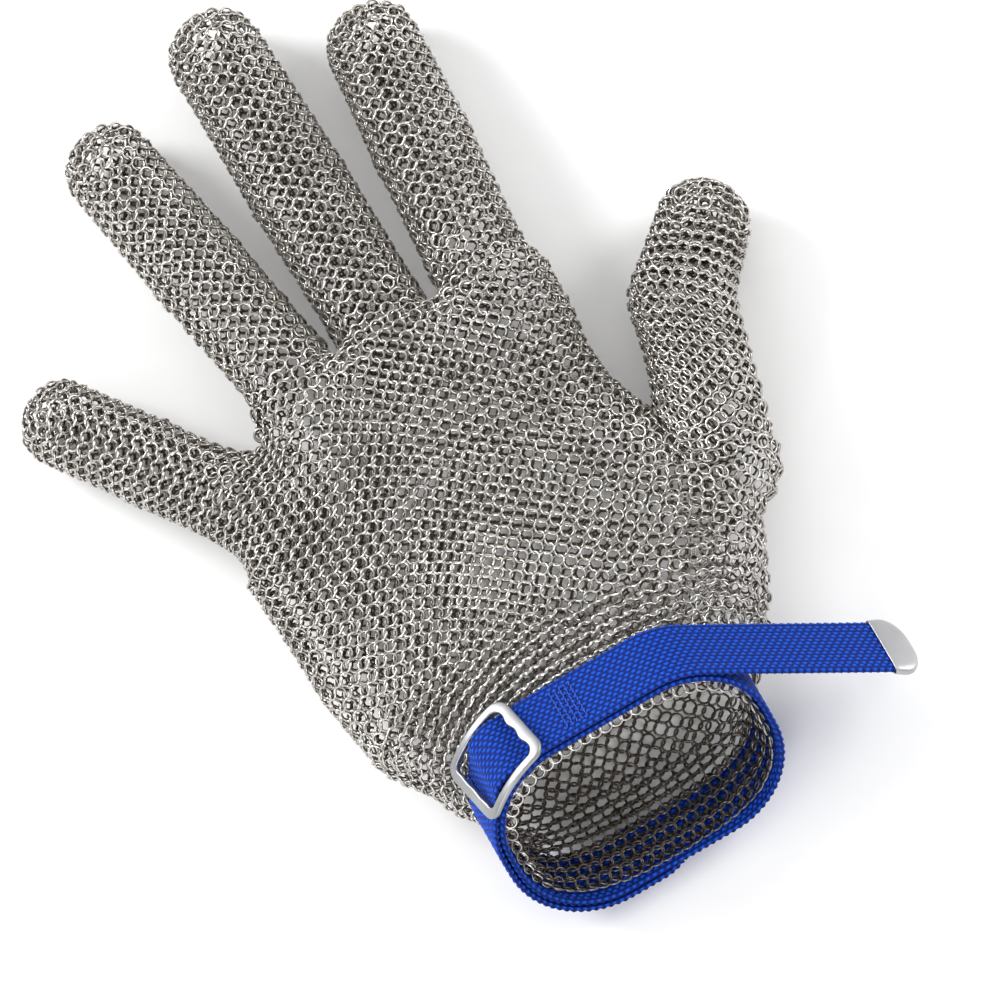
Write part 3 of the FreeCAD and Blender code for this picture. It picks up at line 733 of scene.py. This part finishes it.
class Paint:
    """A material and short ways to add its nodes."""

    def __init__(self, name):
        self.material = bpy.data.materials.new(name)
        self.material.use_nodes = True
        self.nodes = self.material.node_tree.nodes
        self.links = self.material.node_tree.links
        self.shader = self.nodes["Principled BSDF"]

    def add(self, kind, **values):
        node = self.nodes.new("ShaderNode" + kind)
        for key, value in values.items():
            if key in node.inputs:
                node.inputs[key].default_value = value
            else:
                setattr(node, key, value)
        return node

    def join(self, output, target):
        self.links.new(output, target)

    def set(self, **values):
        for name, value in values.items():
            self.shader.inputs[name.replace("_", " ")].default_value = value

    def feed(self, output, name):
        self.links.new(output, self.shader.inputs[name])

    def multiply(self, first, second, share):
        mix = self.add("MixRGB", blend_type="MULTIPLY", Fac=share)
        self.join(first, mix.inputs["Color1"])
        self.join(second, mix.inputs["Color2"])
        return mix.outputs["Color"]

    def ramp(self, source, stops):
        node = self.add("ValToRGB")
        elements = node.color_ramp.elements
        while len(elements) < len(stops):
            elements.new(0.5)
        for element, (place, colour) in zip(elements, stops):
            element.position = place
            element.color = (*colour, 1)
        self.join(source, node.inputs["Fac"])
        return node.outputs["Color"]

    def noise(self, scale, detail=3.0, stretch=(1, 1, 1)):
        place = self.add("TexCoord")
        mapping = self.add("Mapping")
        mapping.inputs["Scale"].default_value = stretch
        self.join(place.outputs["Object"], mapping.inputs["Vector"])
        node = self.add("TexNoise", Scale=scale, Detail=detail)
        self.join(mapping.outputs["Vector"], node.inputs["Vector"])
        return node.outputs["Fac"]

    def bump(self, source, strength, distance):
        node = self.add("Bump", Strength=strength, Distance=distance)
        self.join(source, node.inputs["Height"])
        self.feed(node.outputs["Normal"], "Normal")


def grey(value):
    return (value, value, value)


def ring_steel():
    """Drawn wire, each ring a little lighter or darker at random; painted shade darkens the wire's faces that are
    turned into the glove.
    """
    paint = Paint("ring_steel")
    tone = paint.add("Attribute", attribute_name="ring_tone")
    tones = [(0.0, (0.42, 0.395, 0.365)), (0.5, (0.54, 0.515, 0.48)), (1.0, (0.66, 0.635, 0.60))]
    colour = paint.ramp(tone.outputs["Fac"], tones)
    # painted shade: the less a wire faces out of the glove, the more of a dark brownish grey is multiplied into
    # its colour, so inner faces look shaded
    facing = paint.add("Attribute", attribute_name="facing_out")
    inward_shade = paint.add("MapRange", **{"From Min": -0.7, "From Max": 0.5})
    paint.join(facing.outputs["Fac"], inward_shade.inputs["Value"])
    painted_inner_shade = paint.ramp(inward_shade.outputs["Result"], [(0.0, (0.16, 0.14, 0.125)), (1.0, grey(1.0))])
    paint.feed(paint.multiply(colour, painted_inner_shade, 1.0), "Base Color")
    paint.feed(paint.ramp(paint.noise(900, 4), [(0.3, grey(0.20)), (0.75, grey(0.42))]), "Roughness")
    paint.set(Metallic=1.0)
    paint.bump(paint.noise(5000, 2), 0.15, 0.00004)
    return paint.material


def stamped_steel(name, low, high):
    """Satin steel sheet: cloudy between two tones, brushed across."""
    paint = Paint(name)
    paint.feed(paint.ramp(paint.noise(110, 2), [(0.3, low), (0.7, high)]), "Base Color")
    brushed = paint.noise(1400, 3, stretch=(1, 9, 1))
    paint.feed(paint.ramp(brushed, [(0.25, grey(0.34)), (0.8, grey(0.48))]), "Roughness")
    paint.set(Metallic=1.0)
    paint.bump(brushed, 0.12, 0.00004)
    return paint.material


def webbing_cloth():
    """Blue nylon yarn: painted highlight on the yarn's knuckles and painted shade between them and at the edges,
    from the weave's height; fibres along the strap.
    """
    paint = Paint("webbing_cloth")
    height = paint.add("Attribute", attribute_name="weave")
    # painted light: the low weave is painted dark as shade, the knuckles' tops painted light as highlight
    tones = [(0.0, (0.001, 0.005, 0.055)), (0.45, (0.001, 0.040, 0.38)), (1.0, (0.005, 0.115, 0.72))]
    colour = paint.ramp(height.outputs["Fac"], tones)
    fibre = paint.noise(6500, 3, stretch=(1, 4, 1))
    tint = paint.ramp(fibre, [(0.3, (0.72, 0.74, 0.8)), (0.75, (1.1, 1.1, 1.08))])
    paint.feed(paint.multiply(colour, tint, 0.8), "Base Color")
    paint.feed(paint.ramp(fibre, [(0.3, grey(0.5)), (0.8, grey(0.72))]), "Roughness")
    paint.set(Specular_IOR_Level=0.15, Sheen_Weight=0.08, Sheen_Roughness=0.4)
    paint.bump(fibre, 0.5, 0.00012)
    return paint.material


def thread_yarn():
    paint = Paint("thread_yarn")
    twist = paint.noise(4000, 2)
    paint.feed(paint.ramp(twist, [(0.3, (0.01, 0.035, 0.30)), (0.7, (0.04, 0.12, 0.62))]), "Base Color")
    paint.set(Roughness=0.6)
    paint.bump(twist, 0.4, 0.0001)
    return paint.material


# -------- strap

WEBBING_WIDTH = 16.0
WEBBING_HALF = 0.75
LAYER_GAP = 0.3
CUFF_CORNER = 19.4
BUCKLE_ANGLE = math.radians(121)
YARN_COLUMNS = 15
YARN_STEPS = 4
KNUCKLE_LENGTH = 1.85
WEAVE_HEIGHT = 0.30
SCALLOP_INSET, SCALLOP_DEPTH, EDGE_SHARE = 0.25, 0.2, 0.07
PATH_STEP = 0.33


def cuff_half_sizes():
    """Half width of the cuff's outer face, and its half height in the loop's plane."""
    points = node_points("strap_band") - WRIST_CENTRE
    outer = 2 * WEBBING_HALF + LAYER_GAP
    upright = unit(np.cross(ACROSS, STRAP_AXIS))
    height = points @ upright / (LOOP_RISE @ upright)
    return np.abs(points[:, 0]).max() - outer, np.abs(height).max() - outer


CUFF_WIDE, CUFF_TALL = cuff_half_sizes()
CORNER_ACROSS = CUFF_WIDE - CUFF_CORNER
CORNER_UP = CUFF_TALL - CUFF_CORNER


def layer_middle(layer):
    """How far a layer's middle stands off the cuff: layer 0 is the band, layer 1 the turn over it."""
    return LAYER_GAP + WEBBING_HALF + layer * (2 * WEBBING_HALF + LAYER_GAP)


def full_turn(count):
    return np.linspace(0, 2 * math.pi, count, endpoint=False)


def in_loop(across, up):
    """Places in the loop's slanted plane, from its centre."""
    across, up = np.atleast_1d(across), np.atleast_1d(up)
    return WRIST_CENTRE + across[:, None] * ACROSS + up[:, None] * LOOP_RISE


def arc(centre, radius, start, end):
    """Points of an arc in the loop's plane, angles in degrees from the thumb's side."""
    count = max(2, int(abs(math.radians(end - start)) * radius / PATH_STEP))
    angles = np.radians(np.linspace(start, end, count, endpoint=False))
    return np.stack([centre[0] + radius * np.cos(angles), centre[1] + radius * np.sin(angles)], axis=1)


def straight(start, end):
    count = max(2, int(np.linalg.norm(np.subtract(end, start)) / PATH_STEP))
    share = np.linspace(0, 1, count, endpoint=False)[:, None]
    return np.array(start) * (1 - share) + np.array(end) * share


def even(path):
    """The same path with its points at an even step."""
    travel = np.concatenate([[0], np.cumsum(np.linalg.norm(np.diff(path, axis=0), axis=1))])
    at = np.linspace(0, travel[-1], int(round(travel[-1] / PATH_STEP)) + 1)
    return np.stack([np.interp(at, travel, path[:, k]) for k in range(path.shape[1])], axis=1)


def little_side(start, corner, end_angle):
    """From a place under the wrist, up the little finger's side, to an angle over its upper corner."""
    x, y = CORNER_ACROSS, CORNER_UP
    return [straight((start, -y - corner), (-x, -y - corner)), arc((-x, -y), corner, 270, 180),
            straight((-x - corner, -y), (-x - corner, y)), arc((-x, y), corner, 180, end_angle)]


def band_path():
    """Once round the cuff, starting at the middle of the back."""
    x, y, corner = CORNER_ACROSS, CORNER_UP, CUFF_CORNER + layer_middle(0)
    return np.concatenate([
        straight((0, y + corner), (x, y + corner)), arc((x, y), corner, 90, 0),
        straight((x + corner, y), (x + corner, -y)), arc((x, -y), corner, 0, -90),
        *little_side(x, corner, 90), straight((-x, y + corner), (0, y + corner)),
    ])


# where the webbing passes under an end bar, from the buckle's middle
UNDER_BAR = 10.0
# how the second layer's end is pressed into the band where it is sewn down
SEWN_RUN, SEWN_DROP = 6.0, 1.45


def bar_angle(side):
    """Angle, over the cuff's corner, of the middle of an end bar: -1 is the little finger's side."""
    return math.degrees(BUCKLE_ANGLE - side * math.asin(UNDER_BAR / (CUFF_CORNER + layer_middle(1))))


def outer_turn_path():
    """The second layer: from its sewn end under the wrist, up the little finger's side, to the buckle."""
    path = np.concatenate(little_side(0, CUFF_CORNER + layer_middle(1), bar_angle(-1)))
    sewn = np.clip(1 + path[:, 0] / SEWN_RUN, 0, 1) * (path[:, 1] < 0)
    path[:, 1] += SEWN_DROP * sewn ** 2
    return path


# how far round the cuff's corner the tail follows it, in degrees, and how long it is beyond
TAIL_DROOP = 34.5
TAIL_STRAIGHT = 50.0


def tail_path():
    """From the buckle over the back, then straight off past the thumb's side of the wrist."""
    x, y, corner = CORNER_ACROSS, CORNER_UP, CUFF_CORNER + layer_middle(1)
    end_angle = math.radians(90 - TAIL_DROOP)
    leave = np.array([x + corner * math.cos(end_angle), y + corner * math.sin(end_angle)])
    heading = np.array([math.sin(end_angle), -math.cos(end_angle)])
    path = np.concatenate([
        arc((-x, y), corner, bar_angle(1) - 4, 90), straight((-x, y + corner), (x, y + corner)),
        arc((x, y), corner, 90, 90 - TAIL_DROOP),
        straight(leave, leave + heading * (TAIL_STRAIGHT - 0.5)),
    ])
    return path, leave + heading * TAIL_STRAIGHT, heading


def webbing_profile(travel, whole):
    """Height of the yarn over the webbing's core, its half width, and how far edges thin out."""
    knuckles = max(1, round(whole / KNUCKLE_LENGTH))
    phase = travel / whole * knuckles
    across = np.linspace(-1, 1, YARN_COLUMNS * YARN_STEPS + 1)
    place = (across + 1) / 2 * YARN_COLUMNS
    column = np.clip(np.floor(place), 0, YARN_COLUMNS - 1)
    rounded = np.sqrt(np.clip(1 - (2 * (place - column) - 1) ** 2, 0, 1))
    wave = np.cos(2 * math.pi * (phase[:, None] + 0.5 * (column % 2)[None, :]))
    rise = rounded[None, :] * (0.55 + 0.45 * wave)
    edge = np.clip((1 - np.abs(across)) / EDGE_SHARE, 0, 1) ** 0.5
    half_width = WEBBING_WIDTH / 2 - SCALLOP_INSET + SCALLOP_DEPTH * np.cos(2 * math.pi * phase)
    return across, rise, edge, half_width


def webbing_face(path, out, travel, whole, side):
    """One woven face of the webbing: points row by row, and the height of the weave at each, which the cloth's
    paint turns into painted highlight and painted shade.
    """
    shift = 0.5 * KNUCKLE_LENGTH if side < 0 else 0
    across, rise, edge, half_width = webbing_profile(travel + shift, whole)
    lift = side * edge * (WEBBING_HALF - WEAVE_HEIGHT + WEAVE_HEIGHT * rise)
    wide = across[None, :, None] * half_width[:, None, None] * STRAP_AXIS
    face = path[:, None, :] + wide + out[:, None, :] * lift[:, :, None]
    return face, rise * edge ** 0.3


def webbing(name, path, material, closed=False):
    """Woven strip along a path: yarn knuckles on both faces and scalloped edges."""
    if closed:
        ahead = np.roll(path, -1, axis=0) - np.roll(path, 1, axis=0)
    else:
        ahead = np.gradient(path, axis=0)
    out = unit(np.cross(unit(ahead), STRAP_AXIS))
    steps = np.linalg.norm(np.diff(path, axis=0), axis=1)
    travel = np.concatenate([[0], np.cumsum(steps)])
    whole = travel[-1] + (steps[0] if closed else 0)
    upper, upper_rise = webbing_face(path, out, travel, whole, 1)
    lower, lower_rise = webbing_face(path, out, travel, whole, -1)
    grid = np.concatenate([upper[:, :-1], lower[:, :0:-1]], axis=1)
    rise = np.concatenate([upper_rise[:, :-1], lower_rise[:, :0:-1]], axis=1)
    faces = grid_faces(grid, closed)
    if not closed:
        first = np.arange(grid.shape[1])
        last = first + rise.size - len(first)
        faces = np.concatenate([faces, end_cap(first), end_cap(last)[:, ::-1]])
    piece = mesh_object(name, grid, faces, material)
    # the weave's height, which the cloth's paint reads for painted highlight and painted shade
    paint_points(piece, "weave", rise)
    return piece


def end_cap(loop):
    """Closes a strip's end: faces between its upper and its lower row."""
    half = len(loop) // 2
    faces = []
    for k in range(half):
        faces.append((loop[k], loop[k + 1], loop[-k - 1], loop[-k] if k else loop[0]))
    return np.array(faces[1:])


# -------- buckle

BUCKLE_LENGTH, BUCKLE_WIDTH = 23.5, 20.4
BUCKLE_BAR, BUCKLE_RAIL = 3.0, 2.1
BUCKLE_BEND, FRAME_LIFT, FRAME_THICKNESS = 24.6, 0.9, 1.5
OUTER_CORNER, INNER_CORNER = 3.6, 1.6
SIDE_POINTS, CORNER_POINTS = 14, 8
# waves on an end bar's inner edge: height, length, and how high they are on the left bar
RIPPLE_HEIGHT, RIPPLE_LENGTH, RIPPLE_LEFT = 0.34, 5.6, 0.35
BAR_RADIUS, BAR_END_RADIUS, BAR_HEIGHT, BAR_RISE = 1.0, 0.02, 4.3, 1.3
# the webbing's middle over the centre bar: place along the strap, and height
HUMP = [(9.6, 0.95), (7.4, 2.2), (4.8, 4.7), (2.6, 6.7), (0.0, 7.0)]


def buckle_frame_axes():
    """Where the buckle sits on the cuff: its origin, the way along the strap, and outwards."""
    turn_in, turn_out = BUCKLE_ANGLE - 0.02, BUCKLE_ANGLE + 0.02
    near, far = [
        in_loop(CUFF_CORNER * math.cos(a) - CORNER_ACROSS, CORNER_UP + CUFF_CORNER * math.sin(a))[0]
        for a in (turn_in, turn_out)
    ]
    along = unit(near - far)
    return (near + far) / 2, along, unit(np.cross(along, STRAP_AXIS))


BUCKLE_ORIGIN, BUCKLE_ALONG, BUCKLE_OUT = buckle_frame_axes()
BUCKLE_ACROSS = np.cross(BUCKLE_OUT, BUCKLE_ALONG)


def on_buckle(x, y, z):
    """Places from the buckle's own lengths: along the strap, across it, outwards."""
    x, y, z = np.broadcast_arrays(x, y, z)
    return (BUCKLE_ORIGIN + x[..., None] * BUCKLE_ALONG + y[..., None] * BUCKLE_ACROSS
            + z[..., None] * BUCKLE_OUT)


def rounded_loop(half_x, half_y, corner):
    """Points round a rounded rectangle, as many on each side and corner whatever its size."""
    points = []
    centres = np.array([(1, 1), (-1, 1), (-1, -1), (1, -1)]) * (half_x - corner, half_y - corner)
    for k, (centre, after) in enumerate(zip(centres, np.roll(centres, -1, axis=0))):
        for turn in np.linspace(0, math.pi / 2, CORNER_POINTS, endpoint=False):
            angle = turn + k * math.pi / 2
            points.append(centre + corner * np.array([math.cos(angle), math.sin(angle)]))
        angle = (k + 1) * math.pi / 2
        offset = corner * np.array([math.cos(angle), math.sin(angle)])
        for share in np.linspace(0, 1, SIDE_POINTS, endpoint=False):
            points.append((centre + offset) * (1 - share) + (after + offset) * share)
    return np.array(points)


def build_buckle_frame(material):
    """Stamped frame: flat wire with rounded edges, curved over the wrist, wavy inside one bar."""
    outer = rounded_loop(BUCKLE_LENGTH / 2, BUCKLE_WIDTH / 2, OUTER_CORNER)
    inner = rounded_loop(BUCKLE_LENGTH / 2 - BUCKLE_BAR, BUCKLE_WIDTH / 2 - BUCKLE_RAIL, INNER_CORNER)
    side = np.clip(inner[:, 0] / (BUCKLE_LENGTH / 2 - BUCKLE_BAR), -1, 1)
    ripple = np.cos(inner[:, 1] * 2 * math.pi / RIPPLE_LENGTH) * np.clip(np.abs(side) * 6 - 5, 0, 1)
    inner[:, 0] += RIPPLE_HEIGHT * ripple * np.where(side > 0, 1.0, RIPPLE_LEFT)
    angles = full_turn(16)
    reach = squared(np.cos(angles), 0.42)
    height = squared(np.sin(angles), 0.55)
    middle, half = (outer + inner) / 2, (outer - inner) / 2
    flat = middle[:, None, :] + half[:, None, :] * reach[None, :, None]
    level = BUCKLE_BEND + FRAME_LIFT + FRAME_THICKNESS / 2 * np.broadcast_to(height, flat.shape[:2])
    turned = flat[..., 0] / (BUCKLE_BEND + FRAME_LIFT)
    places = on_buckle(level * np.sin(turned), flat[..., 1], level * np.cos(turned) - CUFF_CORNER)
    piece = mesh_object("buckle_stamped_frame", places, grid_faces(places, closed=True), material)
    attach(piece, "buckle")
    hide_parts("buckle_frame")
    smooth(piece)


def build_centre_bar(material):
    """Round bar the webbing goes over, its ends bent up into the frame's side rails."""
    inside, reach = BUCKLE_WIDTH / 2 - BUCKLE_RAIL, (BUCKLE_WIDTH - BUCKLE_RAIL) / 2
    y = np.concatenate([np.linspace(inside, reach, 5), [reach]])
    y = np.concatenate([-y[::-1], np.linspace(1 - inside, inside - 1, 9), y])
    radius = np.full(len(y), BAR_RADIUS)
    radius[[0, -1]] = BAR_END_RADIUS
    rise = np.clip((np.abs(y) - inside) / (reach - inside), 0, 1) ** 2
    angles = full_turn(14)
    along = radius[:, None] * np.cos(angles)[None, :]
    height = (BAR_HEIGHT + BAR_RISE * rise)[:, None] + radius[:, None] * np.sin(angles)[None, :]
    places = on_buckle(along, y[:, None], height)
    piece = mesh_object("buckle_bar", places, grid_faces(places)[:, OTHER_SIDE], material)
    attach(piece, "buckle")
    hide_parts("buckle_centre_bar")


def smooth(piece):
    """One round of subdivision, applied."""
    modifier = piece.modifiers.new("smooth", "SUBSURF")
    modifier.levels = modifier.render_levels = 1
    bpy.context.view_layer.update()
    refined = piece.evaluated_get(bpy.context.evaluated_depsgraph_get())
    refined = bpy.data.meshes.new_from_object(refined)
    piece.modifiers.clear()
    piece.data = refined


def hump_path():
    """Webbing up from under one end bar, over the centre bar and down under the other."""
    knots = np.array([(-x, z) for x, z in HUMP] + HUMP[-2::-1])
    for _ in range(4):
        finer = np.empty((2 * len(knots) - 1, 2))
        finer[::2] = knots
        finer[1::2] = (knots[:-1] + knots[1:]) / 2
        finer[1:-1] = (finer[:-2] + 2 * finer[1:-1] + finer[2:]) / 4
        knots = finer
    return on_buckle(knots[:, 0], 0 * knots[:, 0], knots[:, 1])


TIP_BACK, TIP_LENGTH, TIP_ROUND_FROM = 3.5, 8.0, 2.6
TIP_HALF_WIDTH, TIP_HALF_THICK = 8.4, 1.3
# the cap's mouth, turned in: place along the strap, half width, half thickness
TIP_MOUTH = [(2.5, 7.9, 0.86), (0.3, 7.95, 0.88), (0.0, 8.15, 1.1)]


def build_strap_tip(end, heading, material):
    """Folded steel cap: a flat shell with a round end and a narrow mouth."""
    along = heading[0] * ACROSS + heading[1] * LOOP_RISE
    out = unit(np.cross(along, STRAP_AXIS))
    base = in_loop(*end)[0] - along * TIP_BACK
    wide = squared(np.cos(full_turn(40)), 0.22)[:, None] * STRAP_AXIS
    thick = squared(np.sin(full_turn(40)), 0.6)[:, None] * out
    rows = list(TIP_MOUTH)
    for share in np.linspace(0.25, 1, 22):
        place = TIP_LENGTH * (1 - (1 - share) ** 1.6)
        rounding = max(place - TIP_ROUND_FROM, 0) / (TIP_LENGTH - TIP_ROUND_FROM)
        rest = max(0.0, 1 - rounding ** 2.3)
        rows.append((place, TIP_HALF_WIDTH * rest ** 0.45, TIP_HALF_THICK * rest ** 0.3))
    grid = np.array([base + along * place + wide * half_width + thick * half_thick
                     for place, half_width, half_thick in rows])
    piece = mesh_object("strap_tip_cap", grid, grid_faces(grid)[:, OTHER_SIDE], material)
    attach(piece, "tail")
    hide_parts("strap_tip")
    smooth(piece)


# -------- stitching

STITCH_ROWS, STITCHES_IN_ROW = 5, 9
# distance of the first row from the tail's pivot, between rows, and the length of a row
STITCH_START, STITCH_PITCH, STITCH_RUN = 2.2, 1.3, 11.0
# what share of its step a stitch takes up, how it slants, and how it rises over the webbing
STITCH_SHARE, STITCH_SLANT, STITCH_LIFT, STITCH_BULGE = 0.86, 0.14, 0.03, 0.10
THREAD_RADIUS = 0.16


def thread_grid(start, end, out):
    """A short thread standing up between two points of the webbing."""
    share = np.linspace(0, 1, 7)
    bulge = STITCH_BULGE * np.sin(math.pi * share)
    centre = start + (end - start) * share[:, None] + out * bulge[:, None]
    side = unit(np.cross(end - start, out))
    angles = full_turn(6)
    ring = np.cos(angles)[:, None] * side + np.sin(angles)[:, None] * out
    return centre[:, None, :] + THREAD_RADIUS * ring[None, :, :]


def build_stitching(material):
    """Zigzag rows of thread across the tail, where it is sewn beside the buckle."""
    start = joint_place("tail_lift")
    out = unit(np.cross(ACROSS, STRAP_AXIS))
    threads = []
    for row in range(STITCH_ROWS):
        base = start + ACROSS * (STITCH_START + row * STITCH_PITCH) + out * (WEBBING_HALF + STITCH_LIFT)
        slant = ACROSS * STITCH_SLANT * (-1) ** row
        for k in range(STITCHES_IN_ROW):
            low = -STITCH_RUN / 2 + k * STITCH_RUN / STITCHES_IN_ROW
            high = low + STITCH_SHARE * STITCH_RUN / STITCHES_IN_ROW
            left, right = base + STRAP_AXIS * low - slant, base + STRAP_AXIS * high + slant
            threads.append(thread_grid(left, right, out))
    grid = np.array(threads)
    piece = mesh_object("tail_stitches", grid, grid_faces(grid), material)
    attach(piece, "tail")
    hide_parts("tail_stitching")


# lengths before and after a joint, given to bend_at for each webbing piece
BUCKLE_BEND_REACH, TAIL_BEND_REACH = (2.5, 2.0), (2.0, 6.0)


def bend_at(piece, before, after, pivot, heading, lead, follow):
    """Bakes the piece's placement into its points; the piece is not bent at the joint."""
    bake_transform(piece)


def build_strap():
    """The strap's three lengths of webbing, the buckle, the tail's steel end and the stitches."""
    cloth = webbing_cloth()
    steel = stamped_steel("buckle_steel_paint", (0.33, 0.335, 0.345), (0.40, 0.405, 0.415))
    path = band_path()
    band = webbing("strap_band_webbing", in_loop(*path.T), cloth, closed=True)
    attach(band, "glove")
    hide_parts("strap_band")
    path = even(outer_turn_path())
    turn = webbing("strap_outer_webbing", in_loop(*path.T), cloth)
    bend_at(turn, "glove", "buckle", joint_place("buckle_tilt"), LOOP_RISE, *BUCKLE_BEND_REACH)
    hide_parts("strap_outer_turn")
    path, end, heading = tail_path()
    path = even(np.concatenate([hump_path(), in_loop(*path.T)]))
    tail = webbing("strap_tail_webbing", path, cloth)
    bend_at(tail, "buckle", "tail", joint_place("tail_lift"), ACROSS, *TAIL_BEND_REACH)
    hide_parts("buckle_webbing", "strap_tail")
    build_buckle_frame(steel)
    tip_steel = stamped_steel("tip_steel_paint", (0.42, 0.42, 0.43), (0.50, 0.50, 0.51))
    build_strap_tip(end, heading, tip_steel)
    build_stitching(thread_yarn())
    build_centre_bar(steel)


build_net_pieces(ring_steel())
build_strap()

# -------- floor, light, camera


FLOOR_SIZE = 12.0


def build_stage():
    """A plain pale floor under the glove."""
    bpy.ops.mesh.primitive_plane_add(size=FLOOR_SIZE, location=(0, 0, 0))
    floor = bpy.context.object
    floor.name = "floor"
    paint = Paint("floor_paint")
    paint.feed(paint.ramp(paint.noise(40, 3), [(0.2, grey(0.88)), (0.8, grey(0.91))]), "Base Color")
    paint.set(Roughness=0.9)
    floor.data.materials.append(paint.material)


LIGHT_REACH, LIGHT_SIZE = 0.95, 0.42
WORLD_STRENGTH = 0.78


def soft_light(name, turn, height, power):
    """A square light turned to the glove, from the side that its turn in degrees says."""
    turn = math.radians(turn)
    data = bpy.data.lights.new(name, "AREA")
    data.shape = "RECTANGLE"
    data.size, data.size_y = LIGHT_SIZE, LIGHT_SIZE
    data.energy = power
    light = bpy.data.objects.new(name, data)
    light.location = (LIGHT_REACH * math.cos(turn), LIGHT_REACH * math.sin(turn), height)
    light.rotation_euler = (-light.location).to_track_quat("-Z", "Y").to_euler()
    bpy.context.scene.collection.objects.link(light)


def build_lights():
    """An even white surround and three soft lights."""
    world = bpy.data.worlds.new("studio")
    world.use_nodes = True
    background = world.node_tree.nodes["Background"]
    background.inputs["Color"].default_value = (1.0, 1.0, 1.0, 1)
    background.inputs["Strength"].default_value = WORLD_STRENGTH
    bpy.context.scene.world = world
    bpy.context.scene.view_settings.view_transform = "Standard"
    soft_light("key", turn=128, height=0.62, power=9.5)
    soft_light("side", turn=2, height=0.55, power=5)
    soft_light("low", turn=236, height=0.55, power=4)


CAMERA_TILT = math.radians(15)
CAMERA_ROLL = math.radians(30)
CAMERA_LENS, SENSOR_WIDTH = 400.0, 36.0
VIEW_WIDTH = 237.0
VIEW_CENTRE = np.array([2.1, 6.4, 15.0])


def build_camera():
    """A long lens, nearly square to the back of the hand, rolled so that the hand leans left."""
    data = bpy.data.cameras.new("camera")
    data.lens = CAMERA_LENS
    data.sensor_width = SENSOR_WIDTH
    camera = bpy.data.objects.new("camera", data)
    toward = np.array([0.0, -math.sin(CAMERA_TILT), math.cos(CAMERA_TILT)])
    along_hand = np.array([0.0, math.cos(CAMERA_TILT), math.sin(CAMERA_TILT)])
    up = math.sin(CAMERA_ROLL) * ACROSS + math.cos(CAMERA_ROLL) * along_hand
    right = np.cross(up, toward)
    distance = VIEW_WIDTH * CAMERA_LENS / SENSOR_WIDTH
    place = (VIEW_CENTRE + toward * distance) * MM
    turn = np.stack([right, up, toward, place], axis=1)
    camera.matrix_world = Matrix(np.vstack([turn, [0, 0, 0, 1]]))
    bpy.context.scene.collection.objects.link(camera)
    bpy.context.scene.camera = camera


build_stage()
build_lights()
build_camera()
